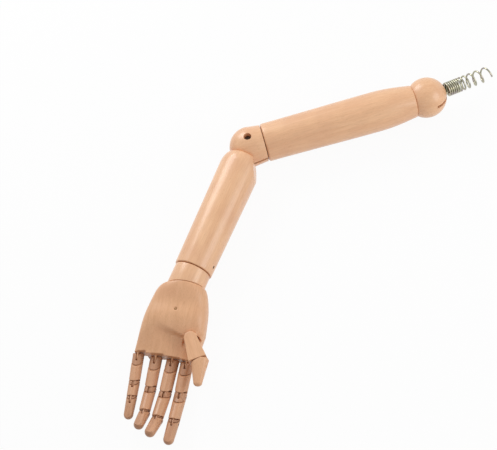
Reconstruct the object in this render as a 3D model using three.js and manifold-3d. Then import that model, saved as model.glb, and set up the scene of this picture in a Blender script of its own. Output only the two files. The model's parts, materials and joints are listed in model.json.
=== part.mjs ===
// Jointed wooden display arm: a left arm that lies with its palm up and its elbow bent.
// Turned hardwood pieces swivel and hinge on one another, and a steel spring holds the arm at the shoulder.
// Millimetres. +Z is up, +X runs along the upper arm to the shoulder, and the arm lies on z = 0.
import * as THREE from "three";
import { mergeVertices, toCreasedNormals } from "three/addons/utils/BufferGeometryUtils.js";
import Module from "manifold-3d";

const wasm = await Module();
wasm.setup();

const DEGREE = Math.PI / 180;

// Clearances of ball seats, pins in holes, tongues in slots, blind bore ends and butted faces.
const SEAT_PLAY = 0.4;
const PIN_PLAY = 0.3;
const TONGUE_PLAY = 0.3;
const BORE_END_PLAY = 0.5;
const BUTT_GAP = 0.3;
const SWIVEL_GAP = 0.7;

// Swivel spigots are turned in one with ball, knuckle and wrist block. A brad runs in the ring groove.
const SPIGOT_DIAMETER = 16;
const SPIGOT_LENGTH = 32;
const SPIGOT_GROOVE_WIDTH = 2.6;
const SPIGOT_GROOVE_DEPTH = 2;
const BRAD_DIAMETER = 1.8;
const BRAD_HEAD_DIAMETER = 3;
const BRAD_HEAD_THICKNESS = 0.8;
const BRAD_RECESS = 0.4;

// Hinge bolts of shoulder and elbow, sunk in a counterbore on one side.
const BOLT_DIAMETER = 6;
const BOLT_HEAD_DIAMETER = 8.4;
const BOLT_HEAD_LEVEL = 13;
const BOLT_HEAD_HEIGHT = 4;
const BOLT_TIP_LEVEL = 15;
const BOLT_DRIVE_WIDTH = 1.2;
const BOLT_DRIVE_DEPTH = 1.4;

// Upper arm: turned, fullest below the shoulder, drawn in at the shoulder end.
const UPPER_ARM_LENGTH = 180.5;
const UPPER_ARM_ELBOW_DIAMETER = 45;
const UPPER_ARM_BELLY_DIAMETER = 47;
const UPPER_ARM_TAPER_LENGTH = 45;
const UPPER_ARM_RIM = 1.0;
const ARM_EDGE_ROUND = 2.5;
const ELBOW_BRAD_INSET = 16;
const SHOULDER_BRAD_INSET = 14;

// Shoulder: slotted ball, steel link in the slot, spring on the link.
const BALL_RADIUS = 23.5;
const BALL_SEAT_OFFSET = 16;
const BALL_SLOT_SAW_RADIUS = 25;
const BALL_TILT = -18.2 * DEGREE;
const LINK_THICKNESS = 2.8;
const LINK_EYE_RADIUS = 8;
const LINK_LENGTH = 41;
const SWING_REST = 9;
const SWING_LIMIT = 55;
const SPRING_WIRE = 2;
const SPRING_INNER_DIAMETER = 13.4;
const SPRING_START = 2.5;
const SPRING_CLOSE_TURNS = 6;
const SPRING_OPEN_TURNS = 5.5;
const SPRING_CLOSE_PITCH = 2.5;
const SPRING_OPENING = 0.88;

// Elbow: rounded fork with a steel tongue that is fixed in the forearm.
const KNUCKLE_RADIUS = 23.8;
const KNUCKLE_BASE = 17;
const KNUCKLE_BASE_RADIUS = 21.7;
const KNUCKLE_SLOT_TURN = 35 * DEGREE;
const ELBOW_TONGUE_THICKNESS = 2.5;
const ELBOW_TONGUE_EYE_RADIUS = 9;
const ELBOW_TONGUE_LENGTH = 50;
const ELBOW_REST = 53.9;
const ELBOW_LIMIT = 70;

// Forearm: turned, hollowed over the elbow knuckle, with a flat relief on the inner side of the bend.
const FOREARM_RIM_SETBACK = 17.5;
const FOREARM_RIM = 1.0;
const FOREARM_FULL_AT = 34;
const FOREARM_FULL_DIAMETER = 48;
const FOREARM_LENGTH = 167;
const FOREARM_WRIST_DIAMETER = 43;
const RELIEF_TURN = 23.3 * DEGREE;
const RELIEF_OFFSET = 5;
const WRIST_BRAD_INSET = 9.5;
const WRIST_BRAD_TURN = 82 * DEGREE;

// Wrist block: swivels in the forearm. Its outer end is cut aslant, and the palm swivels on that face.
const WRIST_GAP = 0.6;
const WRIST_DIAMETER = 40.6;
const PALM_AXIS_REACH = 51.9;
const PALM_AXIS_SIDE = 4.9;
const PALM_LEAN = 13.1 * DEGREE;
const PALM_SPIGOT_REACH = 5;

// Palm: a carved block, measured from its nail on the swivel's axis, thumb side at +Y and palm side at +Z.
const PALM_GAP = 0.4;
const PALM_HEEL = 31.2;
const PALM_LENGTH = 54;
const PALM_HALF_BREADTH = 37.9;
const PALM_MIDDLE_SIDE = -5.3;
const PALM_WIDEST_AT = 20;
const PALM_HEEL_FLARE = 0.42;
const PALM_LITTLE_SIDE_FLARE = 0.4;
const PALM_HEEL_LENGTH = 28;
const PALM_THUMB_SIDE_DRAW = 7.5;
const PALM_BACK = 24;
const PALM_MOUND = 14.5;
const PALM_MOUND_END = 2;
const PALM_FRONT_TOP = -4;
const PALM_SQUARENESS = 3.2;
const PALM_BACK_SPARE = 0.6;
const HOLLOW_INSET = 16;
const HOLLOW_SIDE = -3;
const HOLLOW_LEVEL = 15.5;
const HOLLOW_RADII = [19, 32, 18];
const HOLLOW_TURN = -23.5 * DEGREE;
const HOLLOW_TILT = -7 * DEGREE;

// Hinges of fingers and thumb tip: a tongue on the upper piece, a slot and a sloped front in the lower one.
const PIN_DIAMETER = 2;
const PIN_REACH = 5.4;
const HINGE_GAP = 0.7;
const PIN_SHORTFALL = 0.8;
const TONGUE_THICKNESS = 1.8;
const TONGUE_RADIUS = 4.4;
const TONGUE_TOP = 2;
const SLOPE_START = 2;
const KNUCKLE_SLOPE = 69;
const TIP_SLOPE = 62;
const KNUCKLE_BEND = 60;
const TIP_BEND = 47;
const FINGER_EDGE_ROUND = 0.7;
const FINGER_LEVEL = -14;
const FINGER_SEAT_HALF_WIDTH = 10;
const PAD_LENGTH = 18;
const PAD_DROP = 2.6;

// Fingers: how far each seat lies behind the palm's front, its place across the palm and its splay,
// then radii, lengths and rest bends from the palm outwards.
const FINGERS = [
  { name: "index", inset: 5.4, side: 16.9, splay: 0.3 },
  { name: "middle", inset: 6.4, side: 1.1, splay: -0.8 },
  { name: "ring", inset: 7.6, side: -17.7, splay: 2 },
  { name: "little", inset: 9, side: -38, splay: 4.7 },
];
const FINGER_RADII = {
  index: [7.2, 6.8, 6.3],
  middle: [7.2, 6.8, 6.3],
  ring: [6.8, 6.4, 6],
  little: [6.4, 6, 5.7],
};
const FINGER_LENGTHS = {
  index: [34.6, 32.6, 29],
  middle: [36.7, 32.2, 31.5],
  ring: [34.4, 29.4, 28.2],
  little: [31.2, 18, 26.5],
};
const FINGER_BENDS = { index: [3, 12, 3], middle: [4, 16, 24], ring: [4, 13, 24], little: [4, 4, 2] };
const PIECES = ["proximal", "middle", "distal"];

// Thumb: a wedge with a round cap on an upright pin in a notch of the palm, and a tip piece hinged to it.
const THUMB_PIN_INSET = 25;
const THUMB_PIN_SIDE = 21;
const THUMB_LEVEL = 4;
const THUMB_CAP_RADIUS = 6.8;
const THUMB_ROOT_REACH = 25;
const THUMB_END_HALF_WIDTH = 9.8;
const THUMB_HALF_HEIGHT = 8;
const THUMB_ROUND = 5;
const THUMB_TONGUE_THICKNESS = 4;
const THUMB_TONGUE_RADIUS = 5;
const THUMB_PIN_DIAMETER = 2.4;
const THUMB_PIN_COVER = 2.5;
const THUMB_NOTCH_TURN = 56 * DEGREE;
const THUMB_TURN_REST = 27.7;
const THUMB_TURN_LIMITS = [5, 50];
const THUMB_TIP_LENGTH = 30.5;
const THUMB_TIP_RADII = [8.4, 5.4];
const THUMB_TIP_BROADNESS = 1.16;
const THUMB_TIP_BEND_REST = 22;
const THUMB_TIP_BEND = 24;
const THUMB_TIP_SLOPE = 26;
const THUMB_TIP_PIN_SIDE = 4.5;
const THUMB_TIP_PIN_DEPTH = 7.4;

// Faceting, and how far cutters reach past what they cut.
const ARM_SIDES = 32;
const FINGER_SIDES = 16;
const PIN_SIDES = 12;
const ARC_STEPS = 8;
const ROUND_STEPS = 2;
const SWELL_STEPS = 5;
const STRAP_STEPS = 5;
const PALM_SIDES = 32;
const PALM_STEPS = 10;
const CURL_STEPS = 8;
const WIRE_SIDES = 5;
const BEYOND = 90;
const CREASE = 35 * DEGREE;

function wood() {
  return new THREE.MeshStandardMaterial({ color: 0xdcae80, roughness: 0.42, metalness: 0 });
}

function platedSteel() {
  return new THREE.MeshStandardMaterial({ color: 0xc8c2a8, roughness: 0.28, metalness: 1 });
}

function darkSteel() {
  return new THREE.MeshStandardMaterial({ color: 0x5b5048, roughness: 0.5, metalness: 1 });
}

// The closed solid of a three.js geometry, with shared corners merged and empty triangles left out.
function solid(geometry) {
  const loose = geometry.index ? geometry.toNonIndexed() : geometry;
  const bare = new THREE.BufferGeometry().setAttribute("position", loose.getAttribute("position"));
  const merged = mergeVertices(bare);
  const corners = [];
  for (let i = 0; i < merged.index.count; i += 3) {
    const [a, b, c] = merged.index.array.slice(i, i + 3);
    if (a !== b && b !== c && c !== a) corners.push(a, b, c);
  }
  const vertProperties = merged.getAttribute("position").array;
  return new wasm.Manifold(new wasm.Mesh({ numProp: 3, vertProperties, triVerts: new Uint32Array(corners) }));
}

// Adds a finished solid to its group as a named piece.
function piece(parent, name, shape, material) {
  const { vertProperties, triVerts } = shape.getMesh();
  const geometry = new THREE.BufferGeometry();
  geometry.setAttribute("position", new THREE.BufferAttribute(vertProperties, 3));
  geometry.setIndex(new THREE.BufferAttribute(triVerts, 1));
  const mesh = new THREE.Mesh(toCreasedNormals(geometry, CREASE), material);
  mesh.name = name;
  parent.add(mesh);
  return mesh;
}

// A group that turns about one axis through its origin. Its limits, in degrees, count from the rest pose.
function hinged(parent, name, axis, limits) {
  const group = new THREE.Group();
  group.name = name;
  group.userData = { axis, limits };
  parent.add(group);
  return group;
}

// Points of an arc in a profile, as distance along the axis and radius.
function arc(along, out, radius, from, to, steps) {
  return Array.from({ length: steps + 1 }, (_, i) => {
    const angle = from + ((to - from) * i) / steps;
    return [along + radius * Math.cos(angle), out + radius * Math.sin(angle)];
  });
}

// A blend from one value to another that starts and ends level.
function ease(from, to, share) {
  return from + ((to - from) * (1 - Math.cos(Math.PI * share))) / 2;
}

// Points of a round shoulder, whose radius grows steeply at the start and is level at the end.
function shoulder(start, startRadius, end, endRadius) {
  return Array.from({ length: SWELL_STEPS + 1 }, (_, i) => {
    const angle = (Math.PI / 2) * (i / SWELL_STEPS);
    const along = end - (end - start) * Math.cos(angle);
    return [along, startRadius + (endRadius - startRadius) * Math.sin(angle)];
  });
}

// A shape turned about the X axis from a profile that runs towards +X.
function turned(profile, sides = ARM_SIDES) {
  const points = profile.map(([along, out]) => new THREE.Vector2(out, along));
  return new THREE.LatheGeometry(points, sides).rotateZ(-Math.PI / 2);
}

function box(low, high) {
  const size = high.map((value, i) => value - low[i]);
  const middle = high.map((value, i) => (value + low[i]) / 2);
  return new THREE.BoxGeometry(...size).translate(...middle);
}

// A round bar along Z.
function rod(radius, low, high, sides = PIN_SIDES) {
  const bar = new THREE.CylinderGeometry(radius, radius, high - low, sides);
  return bar.rotateX(Math.PI / 2).translate(0, 0, (low + high) / 2);
}

// A flat plate of an outline in the XY plane, centred on z = 0.
function plate(outline, thickness) {
  const settings = { depth: thickness, bevelEnabled: false, curveSegments: STRAP_STEPS };
  return new THREE.ExtrudeGeometry(outline, settings).translate(0, 0, -thickness / 2);
}

// A flat strap with a round end about the origin and a square end at a reach along X, which may be negative.
function strap(radius, reach, thickness) {
  const outline = new THREE.Shape();
  const side = Math.sign(reach);
  outline.moveTo(reach, -radius * side);
  outline.lineTo(reach, radius * side);
  outline.absarc(0, 0, radius, (side * Math.PI) / 2, (side * Math.PI * 3) / 2, false);
  return plate(outline, thickness);
}

// A body through cross-sections along X: each section has its place, its Y and Z spans and its squareness.
function loft(sections, sides) {
  const rows = sections.length - 1;
  const geometry = new THREE.CylinderGeometry(1, 1, 1, sides, rows);
  const corner = geometry.getAttribute("position");
  for (let i = 0; i < corner.count; i += 1) {
    const { x, y, z, squareness } = sections[Math.round((corner.getY(i) + 0.5) * rows)];
    const spread = (value, [low, high]) => {
      const share = Math.sign(value) * Math.abs(value) ** (2 / squareness);
      return (low + high) / 2 + (share * (high - low)) / 2;
    };
    corner.setXYZ(i, x, spread(corner.getZ(i), y), spread(corner.getX(i), z));
  }
  return geometry;
}

// The profile of a swivel spigot from its tip to its root, with the ring groove at a given place.
function spigot(tip, root, groove) {
  const radius = SPIGOT_DIAMETER / 2;
  const toRoot = Math.sign(root - tip);
  const edge = (toRoot * SPIGOT_GROOVE_WIDTH) / 2;
  return [
    [tip, 0],
    [tip, radius],
    [groove - edge, radius],
    [groove - edge, radius - SPIGOT_GROOVE_DEPTH],
    [groove + edge, radius - SPIGOT_GROOVE_DEPTH],
    [groove + edge, radius],
    [root, radius],
  ];
}

// The bore that a spigot turns in.
function spigotBore(low, high) {
  return rod(SPIGOT_DIAMETER / 2 + PIN_PLAY, low, high, ARM_SIDES).rotateY(Math.PI / 2);
}

// A brad driven from below through a wall whose outside lies at the given radius, into the spigot's groove.
function brad(outside) {
  const head = BRAD_RECESS - outside;
  const neck = head + BRAD_HEAD_THICKNESS;
  const tip = SPIGOT_GROOVE_DEPTH - SPIGOT_DIAMETER / 2 - PIN_PLAY;
  const shank = solid(rod(BRAD_DIAMETER / 2, head, tip));
  return shank.add(solid(rod(BRAD_HEAD_DIAMETER / 2, head, neck)));
}

function bradHole(outside, along, turn) {
  const neck = BRAD_RECESS - outside + BRAD_HEAD_THICKNESS;
  const shank = rod(BRAD_DIAMETER / 2 + PIN_PLAY, -outside - BEYOND, 0);
  const head = rod(BRAD_HEAD_DIAMETER / 2 + PIN_PLAY, -outside - BEYOND, neck + PIN_PLAY);
  const place = (cutter) => solid(cutter.rotateX(turn).translate(along, 0, 0));
  return place(shank).add(place(head));
}

function addBrad(parent, name, outside, along, turn) {
  const nail = piece(parent, name, brad(outside), darkSteel());
  nail.position.x = along;
  nail.rotation.x = turn;
}

// A hinge bolt along Z with its slotted head up, and the stepped hole for it.
function bolt() {
  const top = BOLT_HEAD_LEVEL + BOLT_HEAD_HEIGHT;
  const drive = [BOLT_HEAD_DIAMETER, BOLT_DRIVE_WIDTH / 2, top + BOLT_DRIVE_DEPTH];
  const shank = solid(rod(BOLT_DIAMETER / 2, -BOLT_TIP_LEVEL, top));
  const head = solid(rod(BOLT_HEAD_DIAMETER / 2, BOLT_HEAD_LEVEL, top));
  const slot = solid(box([-drive[0], -drive[1], top - BOLT_DRIVE_DEPTH], drive));
  return shank.add(head).subtract(slot);
}

function boltHole(turn) {
  const shank = rod(BOLT_DIAMETER / 2 + PIN_PLAY, -BOLT_TIP_LEVEL - BORE_END_PLAY, BOLT_HEAD_LEVEL);
  const head = rod(BOLT_HEAD_DIAMETER / 2 + PIN_PLAY, BOLT_HEAD_LEVEL - PIN_PLAY, BEYOND, FINGER_SIDES);
  return solid(shank.rotateX(turn)).add(solid(head.rotateX(turn)));
}

const arm = new THREE.Group();

// Upper arm, with the elbow centre at the origin.
const upperArmStart = KNUCKLE_BASE + SWIVEL_GAP;
const upperArmEnd = upperArmStart + UPPER_ARM_LENGTH;
const ballCentre = upperArmEnd + BALL_SEAT_OFFSET;
const cupRadius = BALL_RADIUS + SEAT_PLAY;
const shoulderRadius = Math.sqrt(cupRadius ** 2 - BALL_SEAT_OFFSET ** 2) + UPPER_ARM_RIM;
const ballPole = ballCentre - BALL_RADIUS;
const ballSpigotTip = ballPole - SPIGOT_LENGTH;
const knuckleSpigotTip = KNUCKLE_BASE + SPIGOT_LENGTH;
const elbowBradAt = upperArmStart + ELBOW_BRAD_INSET;
const shoulderBradAt = ballPole - SHOULDER_BRAD_INSET;
const bellyAt = upperArmEnd - UPPER_ARM_TAPER_LENGTH;

function upperArmRadius(along) {
  const elbowRadius = UPPER_ARM_ELBOW_DIAMETER / 2;
  const bellyRadius = UPPER_ARM_BELLY_DIAMETER / 2;
  const risen = (along - upperArmStart) / (bellyAt - upperArmStart);
  if (risen < 1) return ease(elbowRadius, bellyRadius, risen);
  const share = (along - bellyAt) / UPPER_ARM_TAPER_LENGTH;
  return shoulderRadius + (bellyRadius - shoulderRadius) * Math.cos((share * Math.PI) / 2);
}

function upperArm() {
  const edgeCentre = upperArmStart + ARM_EDGE_ROUND;
  const edgeRadius = upperArmRadius(edgeCentre) - ARM_EDGE_ROUND;
  const stations = Array.from({ length: 2 * SWELL_STEPS }, (_, i) => {
    const along = edgeCentre + ((upperArmEnd - edgeCentre) * (i + 1)) / (2 * SWELL_STEPS);
    return [along, upperArmRadius(along)];
  });
  const profile = [
    [upperArmStart, 0],
    ...arc(edgeCentre, edgeRadius, ARM_EDGE_ROUND, Math.PI, Math.PI / 2, ROUND_STEPS),
    ...stations,
    [upperArmEnd, 0],
  ];
  const cup = new THREE.SphereGeometry(cupRadius, ARM_SIDES, 2 * ARC_STEPS).rotateZ(Math.PI / 2);
  return solid(turned(profile))
    .subtract(solid(cup.translate(ballCentre, 0, 0)))
    .subtract(solid(spigotBore(ballSpigotTip - BORE_END_PLAY, ballCentre)))
    .subtract(solid(spigotBore(0, knuckleSpigotTip + BORE_END_PLAY)))
    .subtract(bradHole(upperArmRadius(elbowBradAt), elbowBradAt, 0))
    .subtract(bradHole(upperArmRadius(shoulderBradAt), shoulderBradAt, 0));
}

piece(arm, "upper_arm", upperArm(), wood());
addBrad(arm, "elbow_brad", upperArmRadius(elbowBradAt), elbowBradAt, 0);
addBrad(arm, "shoulder_brad", upperArmRadius(shoulderBradAt), shoulderBradAt, 0);

// Shoulder ball: turns on its spigot, with a saw slot over the pole for the link and a bolt across it.
const ballTurn = hinged(arm, "shoulder_twist", [1, 0, 0], null);
ballTurn.position.x = ballCentre;
ballTurn.rotation.x = BALL_TILT;

function shoulderBall() {
  const spigotAngle = Math.asin(SPIGOT_DIAMETER / 2 / BALL_RADIUS);
  const ballFace = BALL_RADIUS * Math.cos(spigotAngle);
  const profile = [
    ...spigot(ballSpigotTip - ballCentre, -ballFace, shoulderBradAt - ballCentre).slice(0, -1),
    ...arc(0, 0, BALL_RADIUS, Math.PI - spigotAngle, 0, 2 * ARC_STEPS),
  ];
  const slotBottom = -LINK_EYE_RADIUS - 2 * TONGUE_PLAY;
  const slotHalf = LINK_THICKNESS / 2 + TONGUE_PLAY;
  const saw = rod(BALL_SLOT_SAW_RADIUS, -slotHalf, slotHalf, ARM_SIDES);
  saw.translate(slotBottom + BALL_SLOT_SAW_RADIUS, 0, 0);
  return solid(turned(profile)).subtract(solid(saw)).subtract(boltHole(Math.PI));
}

piece(ballTurn, "shoulder_ball", shoulderBall(), wood());
piece(ballTurn, "shoulder_bolt", bolt(), darkSteel()).rotation.x = Math.PI;

// Link and spring: the flat link swings on the bolt, and the close turns of the spring grip it.
const swingLimits = [-SWING_LIMIT - SWING_REST, SWING_LIMIT - SWING_REST];
const swing = hinged(ballTurn, "shoulder_swing", [0, 0, 1], swingLimits);
swing.rotation.z = SWING_REST * DEGREE;

const springStart = BALL_RADIUS + SPRING_START;
const springRadius = (SPRING_INNER_DIAMETER + SPRING_WIRE) / 2;

function shoulderLink() {
  const boreRadius = SPRING_INNER_DIAMETER / 2 - PIN_PLAY;
  const halfWidth = Math.sqrt(boreRadius ** 2 - (LINK_THICKNESS / 2) ** 2);
  const barSize = LINK_THICKNESS / 2;
  const bar = solid(box([0, -halfWidth, -barSize], [LINK_LENGTH, halfWidth, barSize]));
  const eye = solid(rod(LINK_EYE_RADIUS, -barSize, barSize, ARM_SIDES));
  const hole = solid(rod(BOLT_DIAMETER / 2 + PIN_PLAY, -LINK_THICKNESS, LINK_THICKNESS));
  return eye.add(bar).subtract(hole);
}

// The wire's centre line: close turns first, then turns that open more and more.
function springPoint(turn) {
  const opened = Math.max(turn - SPRING_CLOSE_TURNS, 0);
  const along = springStart + SPRING_CLOSE_PITCH * turn + SPRING_OPENING * opened ** 2;
  const angle = turn * 2 * Math.PI;
  return new THREE.Vector3(along, springRadius * Math.cos(angle), springRadius * Math.sin(angle));
}

function springCentreLine() {
  const turns = SPRING_CLOSE_TURNS + SPRING_OPEN_TURNS;
  const count = Math.round(turns * CURL_STEPS);
  const line = Array.from({ length: count + 1 }, (_, i) => springPoint((i * turns) / count));
  const nudge = 1 / CURL_STEPS / CURL_STEPS;
  const lead = springPoint(0).sub(springPoint(nudge)).setLength(SPRING_WIRE);
  const tail = springPoint(turns).sub(springPoint(turns - nudge)).setLength(SPRING_WIRE);
  return [line[0].clone().add(lead), ...line, line[count].clone().add(tail)];
}

function shoulderSpring() {
  const line = springCentreLine();
  const corners = [];
  const faces = [];
  const last = line.length - 1;
  line.forEach((point, i) => {
    const along = line[Math.min(i + 1, last)].clone().sub(line[Math.max(i - 1, 0)]).normalize();
    const outward = new THREE.Vector3(0, point.y, point.z);
    outward.addScaledVector(along, -outward.dot(along)).normalize();
    const across = along.clone().cross(outward);
    for (let side = 0; side < WIRE_SIDES; side += 1) {
      const angle = (side * 2 * Math.PI) / WIRE_SIDES;
      const corner = point.clone().addScaledVector(outward, (Math.cos(angle) * SPRING_WIRE) / 2);
      corners.push(...corner.addScaledVector(across, (Math.sin(angle) * SPRING_WIRE) / 2));
      const next = (side + 1) % WIRE_SIDES;
      const [a, b] = [i * WIRE_SIDES + side, i * WIRE_SIDES + next];
      if (i < last) faces.push(a, b, b + WIRE_SIDES, a, b + WIRE_SIDES, a + WIRE_SIDES);
    }
  });
  const end = last * WIRE_SIDES;
  for (let side = 1; side < WIRE_SIDES - 1; side += 1) {
    faces.push(0, side + 1, side);
    faces.push(end, end + side, end + side + 1);
  }
  const geometry = new THREE.BufferGeometry();
  geometry.setAttribute("position", new THREE.Float32BufferAttribute(corners, 3));
  return geometry.setIndex(faces);
}

// The least gap between turns: the nearest points of the centre line over half a turn apart, less one wire.
function springGap() {
  const line = springCentreLine();
  const apart = CURL_STEPS / 2;
  let least = Infinity;
  line.forEach((point, i) => {
    line.slice(i + apart + 1).forEach((other) => {
      least = Math.min(least, point.distanceTo(other) - SPRING_WIRE);
    });
  });
  return least;
}

console.log("shoulder_spring: least gap between turns " + springGap().toFixed(2) + " mm");
piece(swing, "shoulder_link", shoulderLink(), platedSteel());
piece(swing, "shoulder_spring", solid(shoulderSpring()), platedSteel());

// Elbow knuckle: turns on its spigot in the upper arm. Its slot is open to the outer and the inner side.
const elbowTurn = hinged(arm, "elbow_twist", [1, 0, 0], null);

function elbowKnuckle() {
  const profile = [
    ...arc(0, 0, KNUCKLE_RADIUS, Math.PI, Math.PI / 2, ARC_STEPS),
    [KNUCKLE_BASE, KNUCKLE_BASE_RADIUS],
    ...spigot(knuckleSpigotTip, KNUCKLE_BASE, elbowBradAt).reverse(),
  ];
  const slotHalf = ELBOW_TONGUE_THICKNESS / 2 + TONGUE_PLAY;
  const slotBottom = ELBOW_TONGUE_EYE_RADIUS + SEAT_PLAY;
  const slot = box([-BEYOND, -BEYOND, -slotHalf], [slotBottom, BEYOND, slotHalf]).rotateZ(KNUCKLE_SLOT_TURN);
  const keep = solid(box([-BEYOND, -BEYOND, -slotHalf], [KNUCKLE_BASE, BEYOND, slotHalf]));
  return solid(turned(profile)).subtract(solid(slot).intersect(keep)).subtract(boltHole(0));
}

piece(elbowTurn, "elbow_knuckle", elbowKnuckle(), wood());
piece(elbowTurn, "elbow_bolt", bolt(), darkSteel());

// Forearm: X runs to the wrist, and +Y is the inner side of the bend.
const elbowBend = hinged(elbowTurn, "elbow_flex", [0, 0, 1], [-ELBOW_REST, ELBOW_LIMIT - ELBOW_REST]);
elbowBend.rotation.z = Math.PI + ELBOW_REST * DEGREE;

const seatRadius = KNUCKLE_RADIUS + SEAT_PLAY;
const wristBlockStart = FOREARM_LENGTH + WRIST_GAP;
const wristSpigotTip = wristBlockStart - SPIGOT_LENGTH;
const wristBradAt = FOREARM_LENGTH - WRIST_BRAD_INSET;

function forearmRadius(along) {
  const full = FOREARM_FULL_DIAMETER / 2;
  const wrist = FOREARM_WRIST_DIAMETER / 2;
  return full + ((wrist - full) * (along - FOREARM_FULL_AT)) / (FOREARM_LENGTH - FOREARM_FULL_AT);
}

function elbowTongue() {
  const eyeRadius = ELBOW_TONGUE_EYE_RADIUS;
  const hole = solid(rod(BOLT_DIAMETER / 2 + PIN_PLAY, -BEYOND, BEYOND));
  return solid(strap(eyeRadius, ELBOW_TONGUE_LENGTH, ELBOW_TONGUE_THICKNESS)).subtract(hole);
}

function forearm() {
  const rimRadius = Math.sqrt(seatRadius ** 2 - FOREARM_RIM_SETBACK ** 2) + FOREARM_RIM;
  const edgeCentre = FOREARM_LENGTH - ARM_EDGE_ROUND / 2;
  const edgeRadius = forearmRadius(edgeCentre) - ARM_EDGE_ROUND / 2;
  const profile = [
    [FOREARM_RIM_SETBACK, 0],
    ...shoulder(FOREARM_RIM_SETBACK, rimRadius, FOREARM_FULL_AT, forearmRadius(FOREARM_FULL_AT)),
    ...arc(edgeCentre, edgeRadius, ARM_EDGE_ROUND / 2, Math.PI / 2, 0, ROUND_STEPS),
    [FOREARM_LENGTH, 0],
  ];
  const seat = new THREE.SphereGeometry(seatRadius, ARM_SIDES, 2 * ARC_STEPS).rotateZ(Math.PI / 2);
  const slotHalf = ELBOW_TONGUE_THICKNESS / 2 + TONGUE_PLAY;
  const slotSide = ELBOW_TONGUE_EYE_RADIUS + TONGUE_PLAY;
  const slotEnd = ELBOW_TONGUE_LENGTH + BORE_END_PLAY;
  const slot = box([0, -slotSide, -slotHalf], [slotEnd, slotSide, slotHalf]);
  const relief = box([-BEYOND, RELIEF_OFFSET, -BEYOND], [BEYOND, BEYOND, BEYOND]).rotateZ(RELIEF_TURN);
  return solid(turned(profile))
    .subtract(solid(seat))
    .subtract(solid(slot))
    .subtract(solid(relief))
    .subtract(solid(spigotBore(wristSpigotTip - BORE_END_PLAY, FOREARM_LENGTH + BEYOND)))
    .subtract(bradHole(forearmRadius(wristBradAt), wristBradAt, Math.PI - WRIST_BRAD_TURN));
}

piece(elbowBend, "forearm", forearm(), wood());
piece(elbowBend, "elbow_tongue", elbowTongue(), platedSteel());
addBrad(elbowBend, "wrist_brad", forearmRadius(wristBradAt), wristBradAt, Math.PI - WRIST_BRAD_TURN);

// Wrist block: turns in the forearm, and carries the palm's spigot on its slanted face.
const wristTurn = hinged(elbowBend, "wrist_twist", [1, 0, 0], null);
wristTurn.position.x = wristBlockStart;

// Moves a shape from the palm's frame into the wrist block's.
function atPalm(geometry) {
  return solid(geometry.rotateZ(PALM_LEAN).translate(PALM_AXIS_REACH, PALM_AXIS_SIDE, 0));
}

function wristBlock() {
  const radius = WRIST_DIAMETER / 2;
  const edge = ARM_EDGE_ROUND / 2;
  const profile = [
    ...spigot(wristSpigotTip - wristBlockStart, 0, wristBradAt - wristBlockStart),
    ...arc(edge, radius - edge, edge, Math.PI, Math.PI / 2, ROUND_STEPS),
    [PALM_AXIS_REACH, radius],
    [PALM_AXIS_REACH, 0],
  ];
  const slant = box([-PALM_HEEL, -BEYOND, -BEYOND], [BEYOND, BEYOND, BEYOND]);
  const root = -PALM_HEEL - BUTT_GAP;
  const peg = turned([[root, 0], ...spigot(PALM_SPIGOT_REACH, root, 0).reverse()]);
  return solid(turned(profile)).subtract(atPalm(slant)).add(atPalm(peg));
}

piece(wristTurn, "wrist_block", wristBlock(), wood());

// Palm: X runs to the fingers, +Y is the thumb side and +Z the palm side.
const palmTurn = hinged(wristTurn, "palm_twist", [1, 0, 0], null);
palmTurn.position.set(PALM_AXIS_REACH, PALM_AXIS_SIDE, 0);
palmTurn.rotation.z = PALM_LEAN;

const palmStart = PALM_GAP - PALM_HEEL;
const heelMiddle = (PALM_HEEL * Math.sin(PALM_LEAN) - PALM_AXIS_SIDE) / Math.cos(PALM_LEAN);
const heelHalfBreadth = WRIST_DIAMETER / 2 / Math.cos(PALM_LEAN);

// The palm's span across: as broad as the wrist block's face at the heel, flaring quickly to its full breadth.
function palmSpan(along) {
  const share = Math.min((along - palmStart) / (PALM_WIDEST_AT - palmStart), 1);
  const flare = (1 - (1 - share) ** 2) ** PALM_HEEL_FLARE;
  const past = Math.max((along - PALM_WIDEST_AT) / (PALM_LENGTH - PALM_WIDEST_AT), 0);
  const spread = ((along - palmStart) / (PALM_LENGTH - palmStart)) ** PALM_LITTLE_SIDE_FLARE;
  const low = heelMiddle - heelHalfBreadth;
  const high = heelMiddle + heelHalfBreadth;
  const full = PALM_MIDDLE_SIDE + PALM_HALF_BREADTH;
  const least = PALM_MIDDLE_SIDE - PALM_HALF_BREADTH;
  return [low + (least - low) * spread, high + (full - high) * flare - PALM_THUMB_SIDE_DRAW * past];
}

// A cross-section of the palm: round at the heel, then squarer, and lower towards the fingers.
function palmSection(along) {
  const share = Math.min((along - palmStart) / PALM_HEEL_LENGTH, 1);
  const fall = Math.max((along - PALM_MOUND_END) / (PALM_LENGTH - PALM_MOUND_END), 0);
  const back = ease(-WRIST_DIAMETER / 2, -PALM_BACK - PALM_BACK_SPARE, share);
  const mound = ease(WRIST_DIAMETER / 2, PALM_MOUND, share) + ease(0, PALM_FRONT_TOP - PALM_MOUND, fall);
  const squareness = 2 + (PALM_SQUARENESS - 2) * share;
  return { x: along, y: palmSpan(along), z: [back, mound], squareness };
}

const thumbPinPlace = [PALM_LENGTH - THUMB_PIN_INSET, THUMB_PIN_SIDE];
const thumbFloor = THUMB_LEVEL - THUMB_HALF_HEIGHT - BUTT_GAP;

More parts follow.
